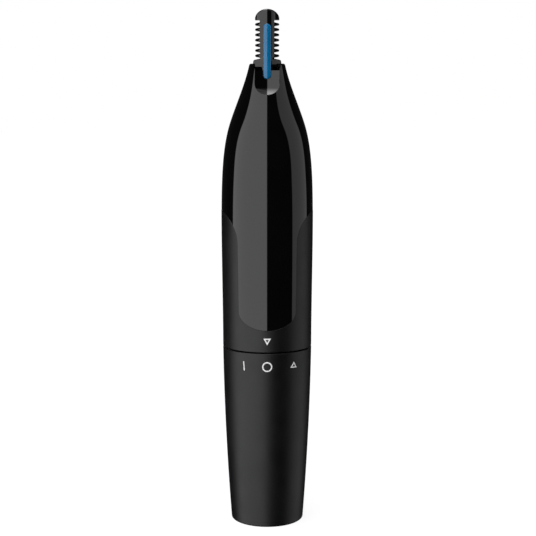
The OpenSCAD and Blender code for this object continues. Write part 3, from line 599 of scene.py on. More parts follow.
def scoop_edge(shape, last, columns):
    """Right half of the scoop's outline: ellipse, side up to the seat, side up to the rim.

    Returns x, z, the outward direction in x and z, and the column that lies at the seat.
    """
    half, foot = shape.scoop_half, COLLAR - shape.scoop_down
    round_end, seat_at = int(columns * 0.5), int(columns * 0.8)
    a = np.linspace(0, QUARTER, round_end + 1)
    side = np.linspace(foot + SCOOP_END, SEAT, seat_at - round_end + 1)[1:]
    upper = np.linspace(SEAT, last, columns - seat_at)[1:]
    x = np.concatenate([half * np.sin(a), np.full(len(side), half), scoop_width(shape, upper)])
    z = np.concatenate([foot + SCOOP_END * (1 - np.cos(a)), side, upper])
    out = unit(np.stack([np.sin(a) / half, -np.cos(a) / SCOOP_END], axis=-1))
    out = np.concatenate([out, np.tile([1.0, 0.0], (len(side) + len(upper), 1))])
    return x, z, out, seat_at


def scoop_floor(shape, x, z):
    """Floor of the scoop: a trough T = -3.6 - (14 - sqrt(14^2 - x^2)) that bends out to the round end E.

    y = T + (E + 0.1 - T)(1 - cbrt(1 - v^3)), with v from 0 at 2.2 above the end's edge to 1 on it.
    Its normals look up by 47 degrees at the lowest point, by 25 degrees 1.75 higher, and are
    level from 2.8 higher on.
    """
    trough_y, trough_r, bend = -3.6, 14.0, 2.2
    foot = COLLAR - shape.scoop_down
    x, z = np.broadcast_arrays(x, z)
    edge = foot + SCOOP_END * (1 - np.sqrt(1 - np.clip(x / shape.scoop_half, -1, 1) ** 2))
    root = np.sqrt(trough_r ** 2 - x ** 2)
    trough = trough_y - (trough_r - root)
    end = 0.1 - np.sqrt((BODY.radius(edge) - shape.gloss_inset) ** 2 - x ** 2)
    v = np.clip((edge + bend - z) / bend, 0, 1)
    y = trough + (end - trough) * (1 - np.cbrt(1 - v ** 3))
    lift = np.radians(np.interp(z - foot, [0, 1.75, 2.8], [47, 25, 0]))
    return y, unit(xyz(-x / root, -1.0, np.tan(lift)))


def collar_section(inset):
    """Section of the collar, from the neck over the rim to the seat: r, z and the height at which it starts.

    A round of radius 0.5 leaves the neck in its own direction; a flat top, a small round and a wall follow.
    """
    top, rim, soft, flat_r = COLLAR - 0.03, 0.5, 0.12, 4.4
    lean = math.atan(-float(BODY.slope(COLLAR - 0.4)))
    rim_z = top - rim + rim * math.sin(lean)
    rim_r = float(BODY.radius(rim_z)) - inset
    turn = np.linspace(lean, QUARTER, 10)
    turn_in = np.linspace(0, QUARTER, 6)
    r = np.concatenate([rim_r - rim * math.cos(lean) + rim * np.cos(turn), [flat_r],
                        HOLE_R + soft - soft * np.sin(turn_in), np.full(4, HOLE_R)])
    z = np.concatenate([top - rim + rim * np.sin(turn), [top],
                        top - soft + soft * np.cos(turn_in), np.linspace(top - soft, SEAT, 5)[1:]])
    return r, z, rim_z


def body_lines(shape):
    """Lines that the gloss shell's surfaces share, each the right half of a mirrored line.

    edge: the gloss edge. middle, foot: where two fans meet and the lower end. section, rim: the collar.
    corner: where the scoop's wall would meet the neck, with its direction out and the scoop's depth there.
    start: where the round edge between the two, of size fillet, begins on the neck.
    """
    inset, scoop_spread, soft = shape.gloss_inset, math.radians(40), 0.12
    edge_angle, edge_z, keys = tongue_edge(shape)
    middle = fan_angles(keys, MIDDLE_FAN)
    scoop_columns = int(np.searchsorted(middle, scoop_spread))
    section_r, section_z, rim_z = collar_section(inset)
    x, z, out, seat_at = scoop_edge(shape, rim_z, scoop_columns + 1)
    y = -np.sqrt((BODY.radius(z) - inset) ** 2 - x ** 2)
    depth = scoop_floor(shape, x, z)[0] - y
    fillet = np.clip(0.3 * depth, 0, soft) * (1 - smooth(SEAT - 2.2, SEAT, z))
    start_x, start_z = x + fillet * out[:, 0], z + fillet * out[:, 1]
    start_r = BODY.radius(start_z) - inset
    notch = np.arcsin(scoop_width(shape, section_z) / section_r)[:, None]
    return SimpleNamespace(
        edge_angle=edge_angle, edge_z=edge_z, middle=middle, foot=fan_angles(keys, FOOT_FAN),
        section_r=section_r, section_z=section_z, rim_z=rim_z, scoop_columns=scoop_columns, seat_at=seat_at,
        rim_angle=notch + (math.pi - notch) * np.linspace(0, 1, COLUMNS - scoop_columns),
        corner=xyz(x, y, z), out=out, depth=depth, fillet=fillet,
        start=xyz(start_x, -np.sqrt(start_r ** 2 - start_x ** 2), start_z),
        start_angle=np.arcsin(start_x / start_r))


def add_fans(shell, shape, lines):
    """Outer surface: a fan of lines from the gloss edge to FAN_TOP and one on to the scoop and the rim."""
    v = np.linspace(0, 1, 84)[:, None]
    shell.add(*BODY.at(mirrored(blend(lines.edge_angle, lines.middle, v), -1),
                       mirrored(blend(lines.edge_z, FAN_TOP, v), 1), shape.gloss_inset))
    rim_angle = lines.rim_angle[0, 1:]
    upper_angle = np.concatenate([lines.start_angle, rim_angle])
    upper_z = np.concatenate([lines.start[:, 2], np.full(len(rim_angle), lines.rim_z)])
    v = np.linspace(0, 1, 40)[:, None]
    shell.add(*BODY.at(mirrored(blend(lines.middle, upper_angle, v), -1),
                       mirrored(blend(FAN_TOP, upper_z, v), 1), shape.gloss_inset))


def add_scoop(shell, shape, lines):
    """Scoop: round edge, wall, small cove and floor; returns the points of its right half."""
    inside = slice(0, lines.seat_at + 1)
    corner, start, out = lines.corner[inside], lines.start[inside], lines.out[inside]
    x, y, z = corner.T
    fillet = lines.fillet[inside]
    cove = np.clip(0.3 * lines.depth[inside], 0.02, 0.12)
    cove_x, cove_z = x - cove * out[:, 0], z - cove * out[:, 1]
    floor_y = scoop_floor(shape, x, z)[0]
    wall_top = corner + xyz(0, fillet, 0)
    wall_foot = xyz(x, np.maximum(floor_y - cove, y + fillet), z)
    bend = xyz(x, floor_y, z)
    floor_start = xyz(cove_x, scoop_floor(shape, cove_x, cove_z)[0], cove_z)
    spine_foot = COLLAR - shape.scoop_down + 3.6
    spine_z = np.maximum(z, spine_foot)
    t = np.linspace(0, 1, 31)[1:, None] ** 1.5
    floor_x, floor_z = (1 - t) * cove_x, blend(cove_z, spine_z, t)
    floor = xyz(floor_x, scoop_floor(shape, floor_x, floor_z)[0], floor_z)
    half = np.concatenate([
        quadratic(start, corner, wall_top, np.linspace(0, 1, 8)[:, None, None]),
        blend(wall_top, wall_foot, np.linspace(0, 1, 6)[1:-1, None, None]),
        quadratic(wall_foot, bend, floor_start, np.linspace(0, 1, 12)[:, None, None]),
        floor])
    scoop = np.concatenate([half[:, :0:-1] * [-1, 1, 1], half], axis=1)
    normals = facing_out(Shell.grid_normals(scoop), (0, -1, 0))
    edge_angle, edge_z = mirrored(lines.start_angle[inside], -1), mirrored(start[:, 2], 1)
    normals[0] = BODY.at(edge_angle, edge_z, shape.gloss_inset)[1]
    floor_rows = slice(len(half) - len(floor) - 1, None)
    normals[floor_rows] = scoop_floor(shape, scoop[floor_rows, :, 0], scoop[floor_rows, :, 2])[1]
    shell.add(scoop, normals)
    return half


def add_collar(shell, shape, lines):
    """Collar's rim on both sides and the notch's two faces; returns the right face's lower edge."""
    inset, rim_rows, wall_rows = shape.gloss_inset, slice(0, 10), slice(-4, None)
    for side in (-1, 1):
        angle = side * lines.rim_angle
        grid = polar(lines.section_r[:, None], angle, lines.section_z[:, None])
        normals = facing_out(Shell.grid_normals(grid), polar(1, angle, 1), rim_rows)
        normals[0] = BODY.at(angle[0], lines.rim_z, inset)[1]
        normals[wall_rows] = -polar(1, angle[wall_rows], 0)
        shell.add(grid, normals)
    outer_z = np.linspace(SEAT, lines.rim_z, lines.scoop_columns + 1 - lines.seat_at)
    z = np.concatenate([outer_z, lines.section_z[1:]])
    r = np.concatenate([BODY.radius(outer_z) - inset, lines.section_r[1:]])
    x = scoop_width(shape, z)
    y = -np.sqrt(r ** 2 - x ** 2)
    face = xyz(x, y, z)
    foot = xyz(shape.scoop_half, np.linspace(y[0], y[-1], len(y)), SEAT)
    for side in (-1, 1):
        shell.add(np.stack([face, foot]) * [side, 1, 1], (-side, 0, 0))
    return foot


def add_seat(shell, lines, scoop, notch_foot):
    """Seat of the guard, from the scoop, the notch and the collar's hole to the socket, and the socket."""
    hole = ring_grid(lines.rim_angle[-1], [HOLE_R], [SEAT])[0]
    loop = np.concatenate([scoop[::-1, -1], notch_foot[1:], hole[1:]])
    loop[:, 2] = SEAT
    turn = np.maximum.accumulate(np.arctan2(loop[:, 0], -loop[:, 1]))
    turn[-1] = math.pi
    turn = mirrored(turn, -1)
    loop = np.concatenate([loop[:0:-1] * [-1, 1, 1], loop])
    socket_foot = SEAT - 8.85
    shell.add(np.stack([loop, polar(SOCKET_R, turn, SEAT)]), UP)
    shell.add(ring_grid(turn, [SOCKET_R] * 3, np.linspace(SEAT, socket_foot, 3)), -polar(1, turn, 0))
    shell.add(ring_grid(turn, [SOCKET_R, 1.4, 0], [socket_foot] * 3), UP)


def add_inside(shell, shape, lines):
    """Recess under the grip, lower edge and hollow inside."""
    recess = shape.grip_depth + shape.grip_inset + 0.02
    edge_angle, edge_z = mirrored(lines.edge_angle, -1), mirrored(lines.edge_z, 1)
    foot = mirrored(lines.foot, -1)
    step = [BODY.at(edge_angle, edge_z, depth)[0] for depth in (shape.gloss_inset, recess)]
    shell.add(np.stack(step), facing=DOWN)
    v = np.linspace(0, 1, 14)[:, None]
    shell.add(*BODY.at(blend(edge_angle, foot, v), blend(edge_z, BODY_FOOT, v), recess))
    foot_r = float(BODY.radius(BODY_FOOT)) - recess
    shell.add(ring_grid(foot, [foot_r, HOLLOW_R], [BODY_FOOT] * 2), DOWN)
    wall, roof_r, roof_z = 2.1, 4.0, NECK + 1
    z = np.concatenate([[BODY_FOOT, BELLY - 2], np.linspace(BELLY, NECK, 14)])
    r = np.minimum(HOLLOW_R, BODY.radius(z) - wall)
    hollow = ring_grid(foot, [*r, roof_r, 0.0], [*z, roof_z, roof_z])
    shell.add(hollow, facing=-polar(1, foot, 0.2))


def make_body_shell(shape):
    """Gloss upper shell: fans of lines on the turned outline, the scoop, the collar and the hollow inside."""
    shell = Shell()
    lines = body_lines(shape)
    add_fans(shell, shape, lines)
    scoop = add_scoop(shell, shape, lines)
    notch_foot = add_collar(shell, shape, lines)
    add_seat(shell, lines, scoop, notch_foot)
    add_inside(shell, shape, lines)
    shell.build("body_shell", gloss_finish(), "body", ["housing"])


def make_grip_skin(shape):
    """Matte skin: lines from the twist seam to the gloss edge, rounded by 0.14 at both edges, 0.4 thick.

    Rows run round its section: lower edge, outer face, upper edge and back along the inner face.
    """
    shell = Shell()
    soft, gap, depth = 0.14, 0.03, shape.grip_depth
    edge_angle, edge_z, keys = tongue_edge(shape)
    a0, a1 = mirrored(fan_angles(keys, FOOT_FAN), -1)[1:], mirrored(edge_angle, -1)[1:]
    z0, z1 = np.full(a0.shape, BODY_FOOT + 0.02), mirrored(edge_z, 1)[1:]
    length = np.hypot(MEAN_R * (a1 - a0), z1 - z0)
    turn = np.linspace(0, QUARTER, 6)[:, None]
    run, drop = soft * (1 - np.cos(turn)), soft * (1 - np.sin(turn))
    out = np.linspace(0, 1, 44)[1:-1, None]
    back = np.linspace(1, 0, 12)[:-1, None]
    along = np.concatenate([0 * length[None], run + 0 * length, soft + out * (length - 2 * soft - gap),
                            length - gap - run[::-1], back * (length - gap)])
    drops = np.concatenate([[[depth]], drop, 0 * out, drop[::-1], depth + 0 * back])
    v = along / length
    grid, outward = BODY.at(blend(a0, a1, v), blend(z0, z1, v), shape.grip_inset + drops)
    normals = facing_out(Shell.grid_normals(grid, True, True), outward, slice(10, 40))
    outer_rows = slice(8, 49)
    normals[outer_rows] = outward[outer_rows]
    shell.add(grid, normals, wrap_rows=True, wrap_columns=True)
    shell.build("grip_skin", matte_finish(), "body", ["grip_sleeve"])


def cap_lines(bore):
    """Angles of the cap's lines and the bore's radius on each.

    At each side the bore has a slot of radius 11.5 and half width 1.1 for the switch ring's keys.
    """
    slot_r, slot_half, plain_lines = 11.5, 1.1, 108
    near, far = np.arcsin(slot_half / slot_r), np.arcsin(slot_half / bore)
    slot = np.array([-far, -near, *np.linspace(-0.07, 0.07, 7), near, far])
    left, right = slot - QUARTER, slot + QUARTER
    front = np.linspace(left[-1], right[0], plain_lines + 2)[1:-1]
    back = np.linspace(right[-1] - 2 * math.pi, left[0], plain_lines + 2)[1:-1]
    slot_radii = [bore, *[slot_r] * (len(slot) - 2), bore]
    plain = [bore] * plain_lines
    return np.concatenate([back, left, front, right]), np.array([*plain, *slot_radii, *plain, *slot_radii])


def make_cap_shell(shape):
    """Matte cap: flat base, round, bowed side and rounded mouth; inside a stepped bore with key slots."""
    shell = Shell()
    inset, soft, bore, cell_bore, floor = shape.grip_inset, 0.16, 11.05, 9.45, 1.92
    ring_foot = heights("switch_ring")[0] - 0.1
    around, slotted = cap_lines(bore)
    outward = polar(1, around, 0)

    # Outer surface: base, round, side and mouth
    turn = np.linspace(-QUARTER, 0, 16)
    lip = np.linspace(0, QUARTER, 7)[1:]
    base_r = float(CAP.radius(BASE_ROUND)) - inset - BASE_ROUND
    lip_r = float(CAP.radius(CAP_TOP)) - inset - soft
    base = [0, 3, 6]
    side_z = np.linspace(BASE_ROUND, CAP_TOP - soft, 70)[1:]
    r = np.concatenate([base, base_r + BASE_ROUND * np.cos(turn), CAP.radius(side_z) - inset,
                        lip_r + soft * np.cos(lip)])
    z = np.concatenate([[0] * len(base), BASE_ROUND + BASE_ROUND * np.sin(turn), side_z,
                        CAP_TOP - soft + soft * np.sin(lip)])
    grid = ring_grid(around, r, z)
    normals = facing_out(Shell.grid_normals(grid, wrap_columns=True), outward)
    normals[:len(base)] = DOWN
    shell.add(grid, normals, wrap_columns=True)

    # Rim of the mouth, the slotted bore, the slots' floor, the plain bore and the cap's floor
    mouth = polar(slotted, around, CAP_TOP)
    slot_foot = polar(slotted, around, ring_foot)
    shell.add(np.stack([polar(lip_r, around, CAP_TOP), mouth]), UP, wrap_columns=True)
    shell.add(np.stack([mouth, slot_foot]), facing=-outward, wrap_columns=True)
    shell.add(np.stack([slot_foot, polar(bore, around, ring_foot)]), UP, wrap_columns=True)
    cone_top, cone_foot = CAP_TOP - 14.45, 18.9
    bores = ring_grid(around, [bore, bore, cell_bore, cell_bore], [ring_foot, cone_top, cone_foot, floor])
    shell.add(bores, facing=-outward, wrap_columns=True)
    shell.add(ring_grid(around, [cell_bore, 5, 0], [floor] * 3), UP, wrap_columns=True)
    shell.build("cap_shell", matte_finish(), "cap", ["battery_cap"])


def comb_lean(normals, left=(-47, -34), right=(32, 62, 90)):
    """Normals of the guard with their angle round the axis moved, as if its flanks were flats.

    On the left, -90 and -65 degrees become the two given angles. On the right, 20, 45 and 90 degrees become
    the three given angles. The back keeps its own.
    """
    angle = np.degrees(np.arctan2(normals[..., 0], -normals[..., 1]))
    level = np.hypot(normals[..., 0], normals[..., 1])
    moved = np.interp(angle, [-180, -130, -90, -65, 0, 20, 45, 90, 130, 180],
                      [-180, -130, *left, 0, *right, 130, 180])
    return polar(level, np.radians(moved), normals[..., 2])


def add_comb_foot(shell, last):
    """Foot of the guard: shoulder and skirt, underside, neck of the skirt, seat, plug, end and bore."""
    outward = polar(1, FULL_TURN, 0)
    skirt_r, skirt_neck, plug_r, soft = 3.98, 2.85, 2.8, 0.1
    skirt_foot, skirt_split, seat, foot = SEAT + 0.95, COLLAR - 0.26, SEAT + 0.02, SEAT - 6.6
    bore_top = last - 0.07
    shoulder = bezier(
        [(3.5, last - 0.36), (3.82, last - 0.46), (3.96, last - 0.7), (skirt_r, last - 1.25)], 14)
    under = rounded((skirt_r - soft, skirt_foot + soft), soft, 0, -90, 5)
    rings = [
        ([(COMB_BORE, bore_top), *shoulder, (skirt_r, skirt_split)], outward),
        ([(skirt_r, skirt_split), (skirt_r, skirt_foot + soft)], outward),
        ([*under, (skirt_neck, skirt_foot)], DOWN),
        ([(skirt_neck, skirt_foot), (skirt_neck, seat)], outward),
        ([(skirt_neck, seat), (plug_r, seat)], DOWN),
        ([(plug_r, seat), (plug_r, foot)], outward),
        ([(plug_r, foot), (COMB_BORE, foot)], DOWN),
        ([(COMB_BORE, foot), (COMB_BORE, bore_top)], -outward),
    ]
    leans = {0: ((-12, -9), (34, 44, 60)), 1: ((-12, -9), (8, 16, 30))}
    steepest = 0.3
    for place, (ring, facing) in enumerate(rings):
        radii, z = zip(*ring)
        grid = ring_grid(FULL_TURN, radii, z)
        normals = facing_out(Shell.grid_normals(grid), facing)
        if place in leans:
            rise = np.minimum(normals[..., 2:], steepest)
            normals = comb_lean(np.sqrt(1 - rise ** 2) * outward + rise * UP, *leans[place])
        shell.add(grid, normals)


def add_comb_bars(shell, last):
    """Bars at front and back, which flare out into the skirt."""
    flare_foot, flare_top, flare = last - 0.95, last + 0.8, 0.55
    bar_top = TIP_FOOT - 0.003
    z = np.concatenate([np.linspace(flare_foot, flare_top, 16), [bar_top]])[:, None]
    r = COMB_R + flare * (1 - smooth(flare_foot, flare_top, z))
    limit = np.linspace(-1, 1, 25)
    for turn in (0, math.pi):
        angle = turn + limit * np.arcsin(COMB_CORE / r)
        outer = polar(r, angle, z)
        inner = polar(COMB_BORE, turn + limit * math.asin(COMB_CORE / COMB_BORE), z)
        outward = polar(1, angle, 0)
        shell.add(outer, comb_lean(facing_out(Shell.grid_normals(outer), outward)))
        shell.add(inner, facing=-outward)
        for end, face in ((0, -1), (-1, 1)):
            shell.add(np.stack([outer[end], inner[end]]), (0, 0, face))
            sideways = (face * math.cos(turn), face * math.sin(turn), 0)
            shell.add(np.stack([outer[:, end], inner[:, end]]), sideways)


def add_comb_teeth(shell, count):
    """C-shaped teeth on both sides, of a section with a rounded outer edge.

    The section's points are shares of the wall, from the bore outwards, and of half the tooth's height.
    """
    soft, gap_r, gap_slope, least = 0.27, 0.22, 0.157, 0.004
    corner = np.linspace(0, QUARTER, 7)
    section = np.array([(0.0, -1.0), *((1 - soft + soft * math.sin(t), -math.cos(t)) for t in corner),
                        *((1 - soft + soft * math.cos(t), math.sin(t)) for t in corner[1:]), (0.0, 1.0)])
    radii = (COMB_BORE + (COMB_R - COMB_BORE) * section[:, 0])[:, None]
    share = np.linspace(-1, 1, 71)
    share = np.sin(share * QUARTER) * 0.7 + share * 0.3
    reach = QUARTER - np.arcsin(COMB_CORE / radii)
    for side in (-1, 1):
        angle = side * QUARTER + share * reach
        outward = polar(1, angle, 0)
        x = np.maximum(np.abs(radii * np.sin(angle)) - COMB_CORE, 0)
        bow = np.sqrt(np.maximum(gap_r ** 2 - (gap_r - x) ** 2, least ** 2))
        gap = np.where(x < gap_r, bow, gap_r + gap_slope * (x - gap_r))
        for i in range(count):
            z = TEETH_TOP - TOOTH_PITCH * (i + 0.5) + section[:, 1:] * (TOOTH_PITCH / 2 - gap)
            grid = polar(radii, angle, z)
            normals = facing_out(Shell.grid_normals(grid), outward, slice(5, 10))
            shell.add(grid, comb_lean(normals, (-95, -69), (32, 78, 90)))
            shell.add(np.stack([grid[-1], grid[0]]), facing=-outward[:2])
            for end in (0, -1):
                shell.close(grid[:, end], (-side, 0, 0))


def tip_height(x):
    """Height of the guard's top, half an ellipse seen from the front."""
    half = 3.45
    return TIP - TIP_RISE + TIP_RISE * np.sqrt(1 - (x / half) ** 2)


def add_comb_tip(shell):
    """Tip of the guard: lower edge rounded beside the bars, upper edge rounded at front and back."""
    outward = polar(1, FULL_TURN, 0)
    across = np.sin(FULL_TURN)
    edge_x = COMB_R * across
    low_round, low_run, side_round, front_more = 0.2, 0.5, 0.06, 0.5
    low = low_round * smooth(COMB_CORE, COMB_CORE + low_run, np.abs(edge_x))
    soft = side_round + front_more * np.abs(np.cos(FULL_TURN)) ** 0.7
    side_foot, side_top = TIP_FOOT + low, tip_height(edge_x) - soft
    rows = []
    for t in np.linspace(0, QUARTER, 6):
        rows.append((COMB_R - low * (1 - math.sin(t)), TIP_FOOT + low * (1 - math.cos(t))))
    for t in np.linspace(0, 1, 9)[1:-1]:
        rows.append((COMB_R, side_foot + t * (side_top - side_foot)))
    for t in np.linspace(0, QUARTER, 12):
        r = COMB_R - soft * (1 - math.cos(t))
        rows.append((r, tip_height(r * across) - soft * (1 - math.sin(t))))
    for t in np.linspace(0, 1, 14)[1:]:
        r = (COMB_R - soft) * (1 - t)
        rows.append((r, tip_height(r * across)))
    grid = np.stack([polar(r, FULL_TURN, z) for r, z in rows])
    normals = facing_out(Shell.grid_normals(grid), outward, slice(0, 14))
    shell.add(grid, comb_lean(normals, (-95, -52)))
    roof = TIP - TIP_RISE
    shell.add(np.stack([grid[0], polar(COMB_BORE, FULL_TURN, TIP_FOOT)]), DOWN)
    shell.add(ring_grid(FULL_TURN, [COMB_BORE, COMB_BORE], [TIP_FOOT, roof]), facing=-outward)
    shell.add(ring_grid(FULL_TURN, [COMB_BORE, 1, 0], [roof] * 3), DOWN)


def make_guard(shape):
    """Guard comb: turned foot, front and back bars, C-shaped teeth and a tip cut to half an ellipse.

    Tip, seen from the front: z = TIP - 2.8 + 2.8 sqrt(1 - (x / 3.45)^2).
    Gap between teeth: round at its inner end with radius g, then of half height g + 0.157 (x - c - g), where
    x is the distance from the middle and c half the width between the gaps.
    """
    shell = Shell()
    last = TEETH_TOP - shape.teeth * TOOTH_PITCH
    add_comb_foot(shell, last)
    add_comb_bars(shell, last)
    add_comb_teeth(shell, shape.teeth)
    add_comb_tip(shell)
    shell.build("comb", guard_finish(), "guard", ["guard_comb"])


def make_strip():
    """Blue strip: half an ellipse of half width w(z) and height c(z) on straight sides, with round ends.

    w is 1.07 in the middle and sqrt(1.07^2 - d^2) in the ends; c = 0.5 (0.45 + 0.55 (w / 1.07)^0.7).
    """
    shell = Shell()
    half, rise, front, back, free_back = 1.07, 0.5, 4.55, 2.95, 3.9
    low, high = STRIP_FOOT + half, STRIP_TOP - half
    theta = np.linspace(-QUARTER, QUARTER, 41)
    end = np.linspace(QUARTER, 0, 14)
    middle = np.linspace(low, high, 30)[1:-1]
    z = np.concatenate([low - half * np.sin(end), middle, high + half * np.sin(end[::-1])])[:, None]
    w = np.concatenate([half * np.cos(end), np.full(len(middle), half), half * np.cos(end[::-1])])[:, None]
    crown = rise * (0.45 + 0.55 * (w / half) ** 0.7)
    foot = -np.where(z < SEAT + 0.05, free_back, back)
    x = np.hstack([-w, w * np.sin(theta), w])
    y = np.hstack([foot, -front + rise - crown * np.cos(theta), foot])
    grid = xyz(x, y, z)
    shell.add(grid, facing=np.concatenate([[(-1, 0, 0)], polar(1, theta, 0), [(1, 0, 0)]]))
    shell.add(np.stack([grid[:, 0], grid[:, -1]]), facing=(0, 1, 0))
    shell.build("strip_bar", strip_finish(), "guard", ["guard_strip"])


def rounded_polygon(corners, radius):
    """Closed outline of even steps whose corners are rounded by quadratic curves."""
    corners = np.asarray(corners, float)
    t = np.linspace(0, 1, 6)[:, None]
    curves = []
    for i, corner in enumerate(corners):
        before = corners[i - 1] - corner
        after = corners[(i + 1) % len(corners)] - corner
        first = corner + before / np.linalg.norm(before) * radius
        last = corner + after / np.linalg.norm(after) * radius
        curves.append(quadratic(first, corner, last, t))
    closed = np.concatenate([*curves, curves[0][:1]])
    along = np.concatenate([[0], np.cumsum(np.linalg.norm(np.diff(closed, axis=0), axis=1))])
    u = np.linspace(0, along[-1], MARK_STEPS + 1)[:-1]
    return np.stack([np.interp(u, along, closed[:, i]) for i in (0, 1)], -1)


def make_mark(name, outline, hole, angle, z, turned, inset, body):
    """Printed mark, a little proud: an outline (and its hole) laid on a turned surface as u = r a, v = z."""
    shell = Shell()
    proud, sunk = 0.022, -0.05
    r = float(turned.radius(z))

    def laid(flat, lift):
        """Flat points laid on the surface and lifted off it."""
        return turned.at(angle + flat[..., 0] / r, z + flat[..., 1], inset - lift)[0]

    outward = polar(1, angle, 0)
    inner = hole if hole is not None else np.tile(outline.mean(0), (len(outline), 1))
    sheet = blend(outline, inner, np.linspace(0, 1, 5)[:, None, None])
    shell.add(laid(sheet, proud), facing=outward, wrap_columns=True)
    shell.add(laid(sheet, sunk), facing=-outward, wrap_columns=True)
    middle = laid(outline.mean(0)[None], 0)[0]
    walls = [(outline, 1)] + ([(hole, -1)] if hole is not None else [])
    for line, way in walls:
        grid = np.stack([laid(line, proud), laid(line, sunk)])
        shell.add(grid, facing=way * (grid - middle), wrap_columns=True)
    shell.build(name, print_finish(), body, sharp=40)


def triangle(width, tall, way, soft):
    """Rounded triangle about its middle, with its point up (way 1) or down (way -1)."""
    foot = -way * tall / 3
    return rounded_polygon([(-width / 2, foot), (width / 2, foot), (0, way * 2 * tall / 3)], soft)


def tilted(points, degrees):
    """Flat points turned about the origin."""
    c, s = math.cos(math.radians(degrees)), math.sin(math.radians(degrees))
    return points @ np.array([(c, s), (-s, c)])


def make_marks(shape):
    """Pointer on the body; stroke, ring and triangle on the cap, at the twist's on, off and open places."""
    around = np.linspace(0, 2 * math.pi, MARK_STEPS + 1)[:-1]
    circle = np.stack([np.sin(around), np.cos(around)], -1)
    matte, on, off, opened = shape.grip_inset, math.radians(-31), 0.0, math.radians(36.2)
    outer, inner = triangle(2.15, 1.93, -1, 0.1), triangle(0.92, 0.82, -1, 0.04)
    make_mark("pointer_mark", outer, inner, off, BODY_FOOT + 3.41, BODY, matte, "body")
    make_mark("off_mark", 1.42 * circle, 1.06 * circle, off, CAP_TOP - 3.72, CAP, matte, "cap")
    wide, tall = 0.16, 1.32
    bar = rounded_polygon([(-wide, -tall), (wide, -tall), (wide, tall), (-wide, tall)], 0.06)
    make_mark("on_mark", tilted(bar, 4), None, on, CAP_TOP - 3.77, CAP, matte, "cap")
    outer, inner = (tilted(line, -3) for line in (triangle(2.2, 1.75, 1, 0.1), triangle(1.1, 0.88, 1, 0.04)))
    make_mark("open_mark", outer, inner, opened, CAP_TOP - 3.8, CAP, matte, "cap")


def turned_piece(name, outline, material, body, replaces=(), closed=False):
    """A turned piece: points (r, z) of its outline carried round the axis; a closed outline makes a ring."""
    shell = Shell()
    around = np.linspace(-math.pi, math.pi, 97)
    radii, z = np.array(outline).T
    line = np.diff(np.vstack([outline, outline[:1]]) if closed else outline, axis=0)
    away = np.stack([line[:, 1], -line[:, 0]], -1)
    away = away if closed else np.vstack([away, away[-1:]])
    facing = polar(away[:, :1], around, away[:, 1:])
    shell.add(ring_grid(around, radii, z), facing=facing, wrap_rows=closed)
    shell.build(name, material, body, replaces, sharp=38)


def rounded(centre, radius, first, last, count=8):
    """Points (r, z) of an arc about a centre, from the first to the last angle in degrees."""
    a = np.radians(np.linspace(first, last, count))
    return [(centre[0] + radius * math.cos(t), centre[1] + radius * math.sin(t)) for t in a]


def make_cell():
    """The cell: a steel can with a rimmed foot and a nub, in a thin jacket drawn over both shoulders."""
    low, high = heights("aa_cell")
    shoulder = high - 1.0
    can_soft, sleeve_soft, nub_soft = 0.62, 0.7, 0.3
    foot = [(0, low), (4.9, low), (5.2, low + 0.12), (5.5, low + 0.12)]
    nub = [(3.6, shoulder - 0.1), (3.1, shoulder - 0.02), (2.75, shoulder + 0.1),
           *rounded((2.45, high - nub_soft), nub_soft, 0, 90), (0, high)]
    can = [*foot, *rounded((6.4, low + 0.65), can_soft, -90, 0), (7.02, shoulder - 0.7),
           *rounded((6.4, shoulder - 0.72), can_soft, 0, 90), *nub]
    sleeve = [*rounded((6.53, low + 0.72), sleeve_soft, -80, 0),
              *rounded((6.53, shoulder - 0.72), sleeve_soft, 0, 95),
              (5.6, shoulder - 0.03), (5.6, shoulder - 0.09), (6.4, shoulder - 0.09), (7.03, shoulder - 0.7),
              (7.03, low + 0.65), (6.6, low + 0.1)]
    steel = metal("can_steel", (0.6, 0.6, 0.61), (0.52, 0.52, 0.54), 0.22, 0.12, tone_scale=160.0,
                  turning=(200.0, 0.0000015))
    jacket = finish("cell_jacket", (0.42, 0.44, 0.43), (0.5, 0.52, 0.5), 0.25, 0.1, metallic=0.6,
                    turning=(60.0, 0.000002))
    turned_piece("cell_can", can, steel, "body")
    turned_piece("cell_sleeve", sleeve, jacket, "body", ["aa_cell"], closed=True)


def make_spring():
    """Conical spring of 0.6 wire: r falls from 6 to 3.2 in three turns while z climbs; round section."""
    low, high = heights("cell_spring")
    wire_r, turns, low_r, draw_in = 0.3, 3, 6.0, 2.8
    t = np.linspace(0, 1, 48 * turns + 1)[:, None]
    a = np.linspace(0, 2 * math.pi, 13)[None, :-1]
    turn = 2 * math.pi * turns * t
    radius = low_r - draw_in * t + wire_r * np.cos(a)
    z = low + wire_r + (high - low - 2 * wire_r) * t + wire_r * np.sin(a)
    tube = xyz(radius * np.cos(turn), radius * np.sin(turn), z)
    shell = Shell()
    shell.add(tube, facing=tube - tube.mean(1, keepdims=True), wrap_columns=True)
    for end, way in ((0, -1), (-1, 1)):
        angle = turn[end, 0]
        shell.close(tube[end], way * np.array([-np.sin(angle), np.cos(angle), 0]))
    steel = metal("spring_wire", (0.6, 0.6, 0.62), (0.5, 0.5, 0.52), 0.2, 0.1, tone_scale=300.0,
                  turning=(400.0, 0.000001))
    shell.build("coil_spring", steel, "cap", ["cell_spring"], sharp=50)


